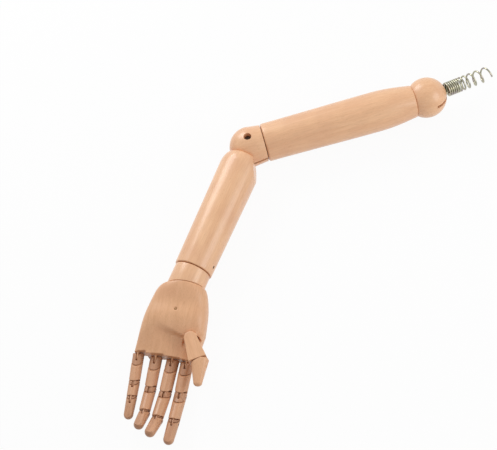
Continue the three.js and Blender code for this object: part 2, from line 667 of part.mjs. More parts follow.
// The notch that the thumb's root turns in: round at the pin, with a slanted wall, and open to the front.
function thumbNotch() {
  const radius = THUMB_CAP_RADIUS + SEAT_PLAY;
  const least = -THUMB_END_HALF_WIDTH - SEAT_PLAY;
  const most = [BEYOND, BEYOND, BEYOND];
  const place = (cutter) => cutter.translate(...thumbPinPlace, 0);
  const wallFrom = (start) => {
    const room = box([start, -2 * BEYOND, thumbFloor], [BEYOND, radius, BEYOND]);
    return solid(place(room.rotateZ(THUMB_NOTCH_TURN)));
  };
  const round = solid(place(rod(radius, thumbFloor, BEYOND, ARM_SIDES)));
  const ahead = solid(place(box([0, least, thumbFloor], most))).intersect(wallFrom(-BEYOND));
  const beside = solid(place(box([-BEYOND, least, thumbFloor], most))).intersect(wallFrom(0));
  return round.add(ahead).add(beside);
}

// The palm's own tongue in that notch.
function thumbTongue() {
  const reach = -THUMB_CAP_RADIUS - 2 * SEAT_PLAY - BUTT_GAP;
  const tongue = strap(THUMB_TONGUE_RADIUS, reach, THUMB_TONGUE_THICKNESS);
  return solid(tongue.translate(...thumbPinPlace, THUMB_LEVEL));
}

// A finger's tongue on its upper piece: flat on the palm side, its pin at the origin, its root past the end face.
function fingerTongue() {
  const root = -PIN_REACH - BUTT_GAP;
  const outline = new THREE.Shape();
  outline.moveTo(root, -TONGUE_RADIUS);
  outline.lineTo(0, -TONGUE_RADIUS);
  outline.absarc(0, 0, TONGUE_RADIUS, -Math.PI / 2, Math.asin(TONGUE_TOP / TONGUE_RADIUS), false);
  outline.lineTo(root, TONGUE_TOP);
  return plate(outline, TONGUE_THICKNESS).rotateX(Math.PI / 2);
}

// The hole of a cross pin, which may end below the surface on its +Y side.
function fingerPinHole(end = BEYOND) {
  return rod(PIN_DIAMETER / 2 + PIN_PLAY, -end, BEYOND).rotateX(Math.PI / 2);
}

// The place of a finger's first pin in the palm's frame.
function firstPin({ inset, side, splay }) {
  const turn = splay * DEGREE;
  const along = PALM_LENGTH - inset + PIN_REACH * Math.cos(turn);
  return [along, side + PIN_REACH * Math.sin(turn), FINGER_LEVEL];
}

// Moves a cutter or tongue from a finger's own frame, with its pin at the origin, into the palm's frame.
function atFinger(finger, geometry) {
  return solid(geometry.rotateZ(finger.splay * DEGREE).translate(...firstPin(finger)));
}

function palm() {
  const steps = Array.from({ length: PALM_STEPS + 1 }, (_, i) => i / PALM_STEPS);
  const sections = steps.map((share) => palmSection(palmStart + (PALM_LENGTH - palmStart) * share));
  const bench = solid(box([-BEYOND, -BEYOND, -BEYOND], [BEYOND, BEYOND, -PALM_BACK]));
  const hollow = new THREE.SphereGeometry(1, ARM_SIDES, ARC_STEPS * 2).rotateX(Math.PI / 2);
  hollow.scale(...HOLLOW_RADII).rotateX(HOLLOW_TILT).rotateZ(HOLLOW_TURN);
  hollow.translate(PALM_LENGTH - HOLLOW_INSET, HOLLOW_SIDE, HOLLOW_LEVEL);
  const thumbHole = rod(THUMB_PIN_DIAMETER / 2 + PIN_PLAY, thumbFloor - PIN_PLAY, BEYOND);
  let block = solid(loft(sections, PALM_SIDES))
    .subtract(bench)
    .subtract(solid(hollow))
    .subtract(solid(spigotBore(-BEYOND, PALM_SPIGOT_REACH + BORE_END_PLAY)))
    .subtract(bradHole(PALM_MOUND, 0, Math.PI))
    .subtract(thumbNotch())
    .add(thumbTongue())
    .subtract(solid(thumbHole.translate(...thumbPinPlace, 0)));
  for (const finger of FINGERS) {
    const half = FINGER_SEAT_HALF_WIDTH;
    block = block.subtract(atFinger(finger, box([-PIN_REACH, -half, -BEYOND], [BEYOND, half, BEYOND])));
  }
  for (const finger of FINGERS) {
    const hole = rod(PIN_DIAMETER / 2 + PIN_PLAY, -TONGUE_THICKNESS, TONGUE_THICKNESS).rotateX(Math.PI / 2);
    block = block.add(atFinger(finger, fingerTongue())).subtract(atFinger(finger, hole));
  }
  return block;
}

piece(palmTurn, "palm", palm(), wood());
addBrad(palmTurn, "palm_brad", PALM_MOUND, 0, Math.PI);

// The body of a finger piece: square at its hinge, and at its other end square or with a rounded tip.
function fingerBody(radius, endRadius, length, last) {
  const back = HINGE_GAP - PIN_REACH;
  const front = length - PIN_REACH;
  const edge = FINGER_EDGE_ROUND;
  const start = [[back, 0], ...arc(back + edge, radius - edge, edge, Math.PI, Math.PI / 2, ROUND_STEPS)];
  if (last) {
    const tip = arc(front - endRadius, 0, endRadius, Math.PI / 2, 0, ARC_STEPS - ROUND_STEPS);
    return turned([...start, ...tip], FINGER_SIDES);
  }
  const end = arc(front - edge, endRadius - edge, edge, Math.PI / 2, 0, ROUND_STEPS);
  return turned([...start, ...end, [front, 0]], FINGER_SIDES);
}

// The sloped front that lets a piece bend towards the palm: it starts a little above the pin.
function fingerSlope(slope) {
  const wedge = box([0, -BEYOND, 0], [BEYOND, BEYOND, BEYOND]);
  return wedge.rotateY(slope * DEGREE - Math.PI / 2).translate(HINGE_GAP - PIN_REACH, 0, SLOPE_START);
}

// The flat pad of a fingertip.
function fingerPad(radius, length) {
  const lean = Math.atan2(PAD_DROP, PAD_LENGTH);
  const pad = box([-BEYOND, -BEYOND, 0], [BEYOND, BEYOND, BEYOND]);
  return pad.rotateY(lean).translate(length - PIN_REACH - PAD_LENGTH, 0, radius);
}

// Slot, slope and pin hole of a hinged piece, with its pin at the origin.
function hingeCut(body, slope, pinEnd = BEYOND) {
  const slotHalf = TONGUE_THICKNESS / 2 + TONGUE_PLAY;
  const slotEnd = TONGUE_RADIUS + BORE_END_PLAY;
  const slot = box([-BEYOND, -slotHalf, -BEYOND], [slotEnd, slotHalf, BEYOND]);
  return body
    .subtract(solid(slot))
    .subtract(solid(fingerSlope(slope)))
    .subtract(solid(fingerPinHole(pinEnd)));
}

// One finger piece, with a tongue or a padded tip at the far end.
function fingerPiece(radius, endRadius, length, slope, last) {
  const body = hingeCut(solid(fingerBody(radius, endRadius, length, last)), slope);
  if (last) return body.subtract(solid(fingerPad(endRadius, length)));
  const tongue = solid(fingerTongue().translate(length, 0, 0));
  return body.add(tongue).subtract(solid(fingerPinHole().translate(length, 0, 0)));
}

function fingerPin(radius, end = radius - PIN_SHORTFALL / 2) {
  const half = radius - PIN_SHORTFALL / 2;
  return solid(rod(PIN_DIAMETER / 2, -end, half).rotateX(Math.PI / 2));
}

// Fingers: each piece hinges on the one before it, and its pin stays in it.
function addFinger(finger) {
  const { name, splay } = finger;
  const [radii, lengths, bends] = [FINGER_RADII[name], FINGER_LENGTHS[name], FINGER_BENDS[name]];
  const base = new THREE.Group();
  base.position.set(...firstPin(finger));
  base.rotation.z = splay * DEGREE;
  palmTurn.add(base);
  let parent = base;
  let reach = 0;
  PIECES.forEach((part, i) => {
    const last = i === PIECES.length - 1;
    const most = last ? TIP_BEND : KNUCKLE_BEND;
    const bend = hinged(parent, name + "_" + part + "_bend", [0, -1, 0], [-bends[i], most - bends[i]]);
    bend.position.x = reach;
    bend.rotation.y = -bends[i] * DEGREE;
    const endRadius = last ? radii[i] - FINGER_EDGE_ROUND : radii[i + 1];
    const shape = fingerPiece(radii[i], endRadius, lengths[i], last ? TIP_SLOPE : KNUCKLE_SLOPE, last);
    piece(bend, name + "_" + part, shape, wood());
    piece(bend, name + "_" + part + "_pin", fingerPin(radii[i]), darkSteel());
    parent = bend;
    reach = lengths[i];
  });
}

FINGERS.forEach(addFinger);

// Thumb root: a round cap at the pin and a wedge to the tip joint, with a slot for the palm's tongue.
// Its pins are covered on the palm side.
const [thumbLow, thumbHigh] = THUMB_TURN_LIMITS;
const thumbTurnLimits = [thumbLow - THUMB_TURN_REST, thumbHigh - THUMB_TURN_REST];
const thumbTurn = hinged(palmTurn, "thumb_root_turn", [0, 0, 1], thumbTurnLimits);
thumbTurn.position.set(...thumbPinPlace, THUMB_LEVEL);
thumbTurn.rotation.z = THUMB_TURN_REST * DEGREE;

const thumbPinTop = THUMB_HALF_HEIGHT - THUMB_PIN_COVER;

function thumbRoot() {
  const spread = Math.asin((THUMB_CAP_RADIUS - THUMB_END_HALF_WIDTH) / THUMB_ROOT_REACH);
  const start = Math.PI / 2 - spread;
  const outline = new THREE.Shape();
  outline.absarc(0, 0, THUMB_CAP_RADIUS, start, 2 * Math.PI - start, false);
  const reach = THUMB_ROOT_REACH + THUMB_ROUND;
  const halfWidth = THUMB_END_HALF_WIDTH - THUMB_ROUND * Math.tan(spread);
  outline.lineTo(reach, -halfWidth);
  outline.lineTo(reach, halfWidth);
  const depth = 2 * (THUMB_HALF_HEIGHT - THUMB_ROUND);
  const bevel = { bevelThickness: THUMB_ROUND, bevelSize: THUMB_ROUND, bevelOffset: -THUMB_ROUND };
  const settings = { depth, ...bevel, bevelSegments: ROUND_STEPS, curveSegments: STRAP_STEPS };
  const wedge = new THREE.ExtrudeGeometry(outline, settings).translate(0, 0, -depth / 2);
  const slotHalf = THUMB_TONGUE_THICKNESS / 2 + TONGUE_PLAY;
  const slotEnd = THUMB_TONGUE_RADIUS + BORE_END_PLAY;
  const pinHole = rod(THUMB_PIN_DIAMETER / 2 + PIN_PLAY, -BEYOND, thumbPinTop);
  const tipPin = [THUMB_ROOT_REACH + PIN_REACH, THUMB_TIP_PIN_SIDE, 0];
  const tongue = fingerTongue().rotateX(Math.PI / 2).translate(...tipPin);
  const tipHole = fingerPinHole().rotateX(Math.PI / 2).translate(...tipPin);
  return solid(wedge)
    .subtract(solid(box([THUMB_ROOT_REACH, -BEYOND, -BEYOND], [BEYOND, BEYOND, BEYOND])))
    .subtract(solid(box([-BEYOND, -BEYOND, -slotHalf], [slotEnd, BEYOND, slotHalf])))
    .subtract(solid(pinHole))
    .add(solid(tongue))
    .subtract(solid(tipHole));
}

const thumbPinReach = THUMB_HALF_HEIGHT - PIN_SHORTFALL;
const thumbPin = solid(rod(THUMB_PIN_DIAMETER / 2, -thumbPinReach, thumbPinTop - BORE_END_PLAY));
piece(thumbTurn, "thumb_root", thumbRoot(), wood());
piece(thumbTurn, "thumb_root_pin", thumbPin, darkSteel());

// Thumb tip: hinged as a finger piece is, and laid on its side so that it bends towards the fingers.
const thumbSide = new THREE.Group();
thumbSide.position.set(THUMB_ROOT_REACH + PIN_REACH, THUMB_TIP_PIN_SIDE, 0);
thumbSide.rotation.x = Math.PI / 2;
thumbTurn.add(thumbSide);
const thumbBendLimits = [-THUMB_TIP_BEND_REST, THUMB_TIP_BEND - THUMB_TIP_BEND_REST];
const thumbBend = hinged(thumbSide, "thumb_tip_bend", [0, -1, 0], thumbBendLimits);
thumbBend.rotation.y = -THUMB_TIP_BEND_REST * DEGREE;
const tipPinTop = THUMB_TIP_PIN_DEPTH - THUMB_PIN_COVER;

function thumbTip() {
  const body = fingerBody(...THUMB_TIP_RADII, THUMB_TIP_LENGTH, true);
  body.scale(1, 1, THUMB_TIP_BROADNESS).translate(0, 0, THUMB_TIP_PIN_SIDE);
  return hingeCut(solid(body), THUMB_TIP_SLOPE, tipPinTop);
}

piece(thumbBend, "thumb_tip", thumbTip(), wood());
piece(thumbBend, "thumb_tip_pin", fingerPin(THUMB_TIP_PIN_DEPTH, tipPinTop - BORE_END_PLAY), darkSteel());

// The part's origin is on the table, under the middle of the arm.
const part = new THREE.Group();
part.add(arm);
const bounds = new THREE.Box3().setFromObject(arm, true);
const middle = bounds.getCenter(new THREE.Vector3());
arm.position.set(-middle.x, -middle.y, -bounds.min.z);

export default part;
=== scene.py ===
# A jointed wooden display arm, lying with its palm up and its elbow bent.
# Each piece is modelled in millimetres along its own axes, and its place turns that into the part's metres.
import json
import math

import bmesh
import bpy
from mathutils import Matrix, Vector


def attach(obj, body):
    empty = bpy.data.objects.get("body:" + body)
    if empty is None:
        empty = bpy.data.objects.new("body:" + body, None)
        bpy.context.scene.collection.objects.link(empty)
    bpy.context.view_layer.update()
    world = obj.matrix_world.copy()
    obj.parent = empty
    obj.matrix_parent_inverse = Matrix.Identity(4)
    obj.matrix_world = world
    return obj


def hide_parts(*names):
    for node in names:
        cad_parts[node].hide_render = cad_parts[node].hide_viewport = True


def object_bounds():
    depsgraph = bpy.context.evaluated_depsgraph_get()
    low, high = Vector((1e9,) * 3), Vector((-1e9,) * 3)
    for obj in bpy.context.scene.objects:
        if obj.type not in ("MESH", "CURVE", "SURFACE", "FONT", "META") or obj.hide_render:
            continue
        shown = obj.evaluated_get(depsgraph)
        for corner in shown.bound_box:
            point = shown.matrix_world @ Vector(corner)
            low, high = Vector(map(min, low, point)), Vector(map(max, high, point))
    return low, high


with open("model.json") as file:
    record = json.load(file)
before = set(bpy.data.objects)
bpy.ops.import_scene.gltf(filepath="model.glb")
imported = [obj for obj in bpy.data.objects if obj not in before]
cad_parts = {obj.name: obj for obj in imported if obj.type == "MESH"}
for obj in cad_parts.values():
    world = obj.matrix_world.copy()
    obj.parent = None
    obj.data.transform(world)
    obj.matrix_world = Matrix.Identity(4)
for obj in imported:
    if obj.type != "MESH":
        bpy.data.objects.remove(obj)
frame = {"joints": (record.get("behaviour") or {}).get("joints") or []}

cad_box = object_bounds()

# Upper arm: one length of beech, turned on a lathe with its fullest place below the shoulder.
# It is bored at both ends for the swivel spigots of elbow and shoulder, and cupped for the shoulder ball.
# The wood is sanded fine and sprayed with a clear satin lacquer.
MM = 0.001
# Cutting tools reach past a piece by one of these.
PAST = 40.0
WELL_PAST = 60.0
FAR_PAST = 90.0
SMOOTH_ANGLE = math.radians(32)
SPIGOT_RADIUS = 8.0
SPIGOT_LENGTH = 32.0
PIN_PLAY = 0.3
BORE_END_PLAY = 0.5
UPPER_ARM_START = 17.7
UPPER_ARM_END = 198.2
UPPER_ARM_ELBOW_RADIUS = 22.5
UPPER_ARM_BELLY_RADIUS = 23.5
UPPER_ARM_TAPER = 45.0
UPPER_ARM_RIM = 1.0
UPPER_ARM_LIP_ROUND = 0.4
UPPER_ARM_STATIONS = 40
ARM_EDGE_ROUND = 2.5
BALL_RADIUS = 23.5
BALL_PLAY = 0.4
CUP_RADIUS = BALL_RADIUS + BALL_PLAY
BALL_AT = UPPER_ARM_END + 16.0
BALL_SPIGOT_TIP = BALL_AT - BALL_RADIUS - SPIGOT_LENGTH
KNUCKLE_BASE = 17.0
ELBOW_BRAD_AT = UPPER_ARM_START + 16.0
SHOULDER_BRAD_AT = BALL_AT - BALL_RADIUS - 14.0
BRAD_HEAD_RADIUS = 1.5
BRAD_DEPTH = 1.2
ARM_BEECH = ("#F8C69A", "#E8AF82", "#C58A5A")
FLUSHED_BEECH = "#DFA57F"
# How far the joint cheeks are coloured towards the dark fleck tone, and the width over which this fades
# out.
CHEEK_DARKENING = 0.4
CHEEK_DARKENING_FADE = 0.3

joints = {joint["name"]: joint for joint in frame["joints"]}


def joint_at(name):
    return Vector(joints[name]["pos_m"])


def joint_axis(name):
    return Vector(joints[name]["axis"]).normalized()


def seat(origin, along, up):
    """The place of a piece: from millimetres on its own axes to metres in the part's frame."""
    along = along.normalized()
    side = up.cross(along).normalized()
    turn = Matrix((along, side, along.cross(side))).transposed().to_4x4()
    return Matrix.Translation(origin) @ turn @ Matrix.Scale(MM, 4)


def arc(along, out, radius, first, last, steps):
    """Points of a round stretch of a profile, with its angles in degrees from the axis."""
    angles = [math.radians(first + (last - first) * i / steps) for i in range(steps + 1)]
    return [(along + radius * math.cos(angle), out + radius * math.sin(angle)) for angle in angles]


def turned(profile, sides=96):
    """A closed shape spun about the X axis from a profile of distances along the axis and radii."""
    mesh = bmesh.new()
    points = [mesh.verts.new((along, out, 0)) for along, out in profile]
    edges = [mesh.edges.new(pair) for pair in zip(points, points[1:])]
    bmesh.ops.spin(mesh, geom=points + edges, cent=(0, 0, 0), axis=(1, 0, 0), angle=math.tau,
                   steps=sides, use_merge=True)
    bmesh.ops.remove_doubles(mesh, verts=mesh.verts, dist=0.001)
    bmesh.ops.recalc_face_normals(mesh, faces=mesh.faces)
    return mesh


def rod(radius, low, high, sides=48):
    """A round bar along Z."""
    mesh = bmesh.new()
    middle = Matrix.Translation((0, 0, (low + high) / 2))
    bmesh.ops.create_cone(mesh, cap_ends=True, segments=sides, radius1=radius, radius2=radius,
                          depth=high - low, matrix=middle)
    return mesh


def moved(mesh, place):
    bmesh.ops.transform(mesh, matrix=place, verts=mesh.verts)
    return mesh


def as_object(mesh, name):
    data = bpy.data.meshes.new(name)
    mesh.to_mesh(data)
    mesh.free()
    thing = bpy.data.objects.new(name, data)
    bpy.context.scene.collection.objects.link(thing)
    return thing


def cut(body, tool, operation="DIFFERENCE"):
    """The body with a closed tool shape cut out of it, joined to it or kept in common with it."""
    blank, cutter = as_object(body, "blank"), as_object(tool, "cutter")
    step = blank.modifiers.new("cut", "BOOLEAN")
    step.object = cutter
    step.operation = operation
    step.solver = "EXACT"
    shape = bmesh.new()
    shape.from_object(blank, bpy.context.evaluated_depsgraph_get())
    for thing in (blank, cutter):
        bpy.data.meshes.remove(thing.data)
    return shape


def linear(text):
    """An sRGB hex colour as linear red, green, blue and alpha."""
    shares = [int(text[i:i + 2], 16) / 255 for i in (1, 3, 5)]
    return (*(s / 12.92 if s <= 0.04045 else ((s + 0.055) / 1.055) ** 2.4 for s in shares), 1.0)


def add_node(tree, kind, inputs=None, **settings):
    """Adds a node with its settings, and gives each named input a value or a link."""
    node = tree.nodes.new("ShaderNode" + kind)
    for name, value in settings.items():
        setattr(node, name, value)
    for socket, value in (inputs or {}).items():
        if isinstance(value, bpy.types.NodeSocket):
            tree.links.new(value, node.inputs[socket])
        else:
            node.inputs[socket].default_value = value
    return node


def new_material(name):
    """A material with an empty node tree."""
    material = bpy.data.materials.new(name)
    material.use_nodes = True
    material.node_tree.nodes.clear()
    return material, material.node_tree


def noise(tree, where, scale, detail, roughness, distortion=0.0):
    """Soft noise from 0 to 1."""
    return add_node(tree, "TexNoise", {
        "Vector": where, "Scale": scale, "Detail": detail, "Roughness": roughness,
        "Distortion": distortion}).outputs["Fac"]


def ranged(tree, value, low, high, first, last):
    """A value that goes from first to last while another goes from low to high."""
    return add_node(tree, "MapRange", {
        "Value": value, "From Min": low, "From Max": high, "To Min": first, "To Max": last}).outputs[0]


def mixed(tree, share, first, second):
    """A colour between two others."""
    return add_node(tree, "Mix", {0: share, 6: first, 7: second}, data_type="RGBA").outputs[2]


def lacquered_beech(name, place, tones, shift=0.0, figure=0.6, gloss=0.5, cheek=None):
    """Steamed beech, turned, sanded and lacquered: pale tan with soft streaks and short brown flecks along
    the grain, browner where the saw or the lathe has cut across it, under a thin satin coat.
    The grain runs along the piece's own X axis. Joint cheeks, which lie behind a plane that is given by a
    direction and a level along it, are coloured a darker brown."""
    pale, deep, fleck = (linear(tone) for tone in tones)
    material, tree = new_material("lacquered_beech_" + name)
    turn = place.to_3x3().normalized().inverted()
    start = Vector((shift,) * 3) - (turn @ place.translation) / MM
    where = add_node(tree, "TexCoord")
    local = add_node(tree, "Mapping", {
        "Vector": where.outputs["Object"], "Location": start, "Rotation": turn.to_euler(),
        "Scale": (1 / MM,) * 3}).outputs[0]
    facing = add_node(tree, "Mapping", {
        "Vector": where.outputs["Normal"], "Rotation": turn.to_euler()}, vector_type="VECTOR")
    # Growth layers: streaks about 5 mm across and 90 mm long.
    layers = add_node(tree, "Mapping", {"Vector": local, "Scale": (0.011, 0.2, 0.2)})
    streaks = noise(tree, layers.outputs[0], 1.0, 4.0, 0.6, 0.8)
    wood = mixed(tree, ranged(tree, streaks, 0.32, 0.68, 0.0, figure), pale, deep)
    # Fibres: 0.6 mm across and 12 mm long.
    fibre_scale = add_node(tree, "Mapping", {"Vector": local, "Scale": (0.08, 1.6, 1.6)})
    fibres = noise(tree, fibre_scale.outputs[0], 1.0, 2.0, 0.5)
    fibre_wood = add_node(tree, "VectorMath", {
        0: wood, "Scale": ranged(tree, fibres, 0.3, 0.7, 0.93, 1.05)}, operation="SCALE")
    # Blotches: warmer places, about 30 mm across.
    blotch_share = ranged(tree, noise(tree, local, 0.035, 2.0, 0.5), 0.4, 0.7, 0.0, 0.35)
    color = mixed(tree, blotch_share, fibre_wood.outputs[0], linear(FLUSHED_BEECH))
    # Ray flecks: real ones are 0.3 mm wide, and are drawn at 0.7 mm so that they show.
    ray_scale = add_node(tree, "Mapping", {"Vector": local, "Scale": (0.3, 1.4, 1.4)})
    rays = noise(tree, ray_scale.outputs[0], 1.0, 1.0, 0.4)
    color = mixed(tree, ranged(tree, rays, 0.62, 0.76, 0.0, 0.45 * figure), color, fleck)
    # End grain: pores 0.5 mm apart, browner where the surface faces along the grain.
    along = add_node(tree, "SeparateXYZ", {0: facing.outputs[0]})
    straight = add_node(tree, "Math", {0: along.outputs[0]}, operation="ABSOLUTE")
    end_wood = mixed(tree, noise(tree, local, 1.8, 1.0, 0.5), fleck, deep)
    color = mixed(tree, ranged(tree, straight.outputs[0], 0.55, 0.95, 0.0, 0.55), color, end_wood)
    # Joint cheeks, behind the slanting plane, are coloured a darker brown, fading in over 0.3 mm at the
    # plane.
    if cheek:
        outwards, level = cheek
        from_axis = add_node(tree, "VectorMath", {0: local, 1: (shift,) * 3}, operation="SUBTRACT")
        reach = add_node(tree, "VectorMath", {
            0: from_axis.outputs[0], 1: outwards}, operation="DOT_PRODUCT")
        darkened = ranged(tree, reach.outputs["Value"], level - CHEEK_DARKENING_FADE, level, CHEEK_DARKENING, 0.0)
        color = mixed(tree, darkened, color, fleck)
    bump = add_node(tree, "Bump", {"Height": fibres, "Strength": 0.2, "Distance": 0.00004})
    shader = add_node(tree, "BsdfPrincipled", {
        "Base Color": color, "Roughness": ranged(tree, fibres, 0.0, 1.0, 0.36, 0.5),
        "Normal": bump.outputs[0], "IOR": 1.5, "Coat Weight": gloss, "Coat Roughness": 0.2})
    add_node(tree, "OutputMaterial", {"Surface": shader.outputs[0]})
    return material


def finished(mesh, node, form, place, material, body):
    """Puts a piece in its place, shades it, and makes it stand for its node and ride on its body."""
    for face in mesh.faces:
        face.smooth = True
    for edge in mesh.edges:
        edge.smooth = edge.calc_face_angle(0.0) < SMOOTH_ANGLE
    thing = as_object(moved(mesh, place), f"{node}_{form}")
    thing.data.materials.append(material)
    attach(thing, body)
    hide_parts(node)


def wooden(mesh, name, place, tones, **looks):
    """Finishes a piece of lacquered beech, which has the name of its node and of its body."""
    grain = lacquered_beech(name, place, tones, **looks)
    finished(mesh, name, "wood", place, grain, name)


def ease(first, last, share):
    """A value that leaves the first and comes to the last without a kink."""
    return first + (last - first) * (1 - math.cos(math.pi * share)) / 2


cup_mouth = math.degrees(math.acos((UPPER_ARM_END - BALL_AT) / CUP_RADIUS))
cup_mouth_radius = CUP_RADIUS * math.sin(math.radians(cup_mouth))
shoulder_radius = cup_mouth_radius + UPPER_ARM_RIM
bore_radius = SPIGOT_RADIUS + PIN_PLAY
bore_angle = 180 - math.degrees(math.asin(bore_radius / CUP_RADIUS))


def upper_arm_radius(along):
    belly_at = UPPER_ARM_END - UPPER_ARM_TAPER
    if along < belly_at:
        share = (along - UPPER_ARM_START) / (belly_at - UPPER_ARM_START)
        return ease(UPPER_ARM_ELBOW_RADIUS, UPPER_ARM_BELLY_RADIUS, share)
    share = (along - belly_at) / UPPER_ARM_TAPER
    return shoulder_radius + (UPPER_ARM_BELLY_RADIUS - shoulder_radius) * math.cos(share * math.pi / 2)


def brad_hole(outside, along, turn=0.0):
    """The hole of a brad head in a wall whose outside lies at a radius, from below and turned about X."""
    tool = rod(BRAD_HEAD_RADIUS + PIN_PLAY, -outside - PAST, BRAD_DEPTH - outside, 24)
    return moved(tool, Matrix.Translation((along, 0, 0)) @ Matrix.Rotation(turn, 4, "X"))


edge_at = UPPER_ARM_START + ARM_EDGE_ROUND
lip_at = UPPER_ARM_END - UPPER_ARM_LIP_ROUND
steps = UPPER_ARM_STATIONS
stations = [edge_at + (lip_at - edge_at) * i / steps for i in range(1, steps + 1)]
upper_arm_profile = [
    (KNUCKLE_BASE + SPIGOT_LENGTH + BORE_END_PLAY, 0),
    (KNUCKLE_BASE + SPIGOT_LENGTH + BORE_END_PLAY, bore_radius),
    (UPPER_ARM_START, bore_radius),
    *arc(edge_at, upper_arm_radius(edge_at) - ARM_EDGE_ROUND, ARM_EDGE_ROUND, 180, 90, 8),
    *((along, upper_arm_radius(along)) for along in stations),
    *arc(lip_at, shoulder_radius - UPPER_ARM_LIP_ROUND, UPPER_ARM_LIP_ROUND, 80, 0, 4),
    *arc(BALL_AT, 0, CUP_RADIUS, cup_mouth, bore_angle, 20),
    (BALL_SPIGOT_TIP - BORE_END_PLAY, bore_radius),
    (BALL_SPIGOT_TIP - BORE_END_PLAY, 0),
]
upper_arm = turned(upper_arm_profile, 128)
for along in (ELBOW_BRAD_AT, SHOULDER_BRAD_AT):
    upper_arm = cut(upper_arm, brad_hole(upper_arm_radius(along), along))
arm_place = seat(joint_at("elbow_twist"), joint_axis("elbow_twist"), Vector((0, 0, 1)))
wooden(upper_arm, "upper_arm", arm_place, ARM_BEECH)

# Brads: steel nails with small round heads, sunk in the underside of the upper arm.
# Each runs in the ring groove of a spigot and keeps it from drawing out. Their heads are dull and dark.
BRAD_RADIUS = 0.9
BRAD_RECESS = 0.4
BRAD_HEAD_THICKNESS = 0.8
BRAD_HEAD_ROUND = 0.3
BRAD_TIP = 6.3
BRAD_POINT = 1.0


def dull_steel(name, bright="#7B6D62", dark="#3E342E"):
    """Plain steel wire and screw stock, bare and oxidised to a dull brown-grey, darker in patches."""
    material, tree = new_material("dull_steel_" + name)
    where = add_node(tree, "TexCoord")
    # Oxide patches about 2 mm across.
    patches = noise(tree, where.outputs["Object"], 500.0, 3.0, 0.6)
    shader = add_node(tree, "BsdfPrincipled", {
        "Base Color": mixed(tree, patches, linear(bright), linear(dark)),
        "Roughness": ranged(tree, patches, 0.0, 1.0, 0.35, 0.65), "Metallic": 1.0})
    add_node(tree, "OutputMaterial", {"Surface": shader.outputs[0]})
    return material


def brad(outside):
    """A brad along X, from its head at a wall's outside to its tip by the axis of the arm."""
    head = BRAD_RECESS - outside
    neck = head + BRAD_HEAD_THICKNESS
    return turned([
        (head, 0),
        *arc(head + BRAD_HEAD_ROUND, BRAD_HEAD_RADIUS - BRAD_HEAD_ROUND, BRAD_HEAD_ROUND, 180, 90, 4),
        (neck, BRAD_HEAD_RADIUS),
        (neck, BRAD_RADIUS),
        (-BRAD_TIP - BRAD_POINT, BRAD_RADIUS),
        (-BRAD_TIP, 0),
    ], 24)


nail_steel = dull_steel("nails")
for name, along in (("elbow_brad", ELBOW_BRAD_AT), ("shoulder_brad", SHOULDER_BRAD_AT)):
    nail_place = seat(arm_place @ Vector((along, 0, 0)), Vector((0, 0, 1)), joint_axis("elbow_twist"))
    finished(brad(upper_arm_radius(along)), name, "nail", nail_place, nail_steel, "upper_arm")

# Shoulder ball: a turned beech ball that swivels in the arm's cup on a spigot of its own wood.
# A saw slot runs over its outer pole for the steel link, and a bolt crosses it from below.
BALL_SLOT_HALF = 1.7
BALL_SLOT_BOTTOM = -8.6
BALL_SAW_RADIUS = 25.0
SPIGOT_CHAMFER = 1.0
GROOVE_HALF = 1.3
GROOVE_DEPTH = 2.0
BOLT_RADIUS = 3.0
BOLT_HEAD_RADIUS = 4.2
BOLT_HEAD_LEVEL = 13.0
BOLT_HEAD_TOP = 17.0
BOLT_TIP = -15.0


def spigot(tip, root, groove):
    """The profile of a swivel spigot from its tip to its root, with the ring groove that a brad runs in."""
    edge = math.copysign(GROOVE_HALF, root - tip)
    lean = math.copysign(SPIGOT_CHAMFER, root - tip)
    return [
        (tip, 0),
        (tip, SPIGOT_RADIUS - SPIGOT_CHAMFER),
        (tip + lean, SPIGOT_RADIUS),
        (groove - edge, SPIGOT_RADIUS),
        (groove - edge, SPIGOT_RADIUS - GROOVE_DEPTH),
        (groove + edge, SPIGOT_RADIUS - GROOVE_DEPTH),
        (groove + edge, SPIGOT_RADIUS),
        (root, SPIGOT_RADIUS),
    ]


def bolt_hole():
    """The stepped hole of a hinge bolt along Z, with the counterbore of its head at the top."""
    shank = rod(BOLT_RADIUS + PIN_PLAY, BOLT_TIP - BORE_END_PLAY, BOLT_HEAD_LEVEL)
    return cut(shank, rod(BOLT_HEAD_RADIUS + PIN_PLAY, BOLT_HEAD_LEVEL - PIN_PLAY, PAST, 64), "UNION")


spigot_angle = math.degrees(math.asin(SPIGOT_RADIUS / BALL_RADIUS))
ball_profile = [
    *spigot(BALL_SPIGOT_TIP - BALL_AT, 0, SHOULDER_BRAD_AT - BALL_AT)[:-1],
    *arc(0, 0, BALL_RADIUS, 180 - spigot_angle, 0, 48),
]
saw = moved(rod(BALL_SAW_RADIUS, -BALL_SLOT_HALF, BALL_SLOT_HALF, 96),
            Matrix.Translation((BALL_SLOT_BOTTOM + BALL_SAW_RADIUS, 0, 0)))
ball = cut(turned(ball_profile), saw)
ball = cut(ball, moved(bolt_hole(), Matrix.Rotation(math.pi, 4, "X")))
ball_place = seat(joint_at("shoulder_swing"), joint_axis("shoulder_twist"), joint_axis("shoulder_swing"))
wooden(ball, "shoulder_ball", ball_place, ARM_BEECH, shift=40)

# Shoulder bolt: a slotted machine screw through the ball and the link's eye, tightened from below.
# Its cheese head lies sunk in a counterbore of the ball.
BOLT_DRIVE_WIDTH = 1.2
BOLT_DRIVE_DEPTH = 1.4
BOLT_ROUND = 0.6


def box(low, high):
    """A block between its low and its high corner."""
    mesh = bmesh.new()
    size = Vector(high) - Vector(low)
    middle = Matrix.Translation((Vector(high) + Vector(low)) / 2)
    bmesh.ops.create_cube(mesh, size=1, matrix=middle @ Matrix.Diagonal((*size, 1)))
    return mesh


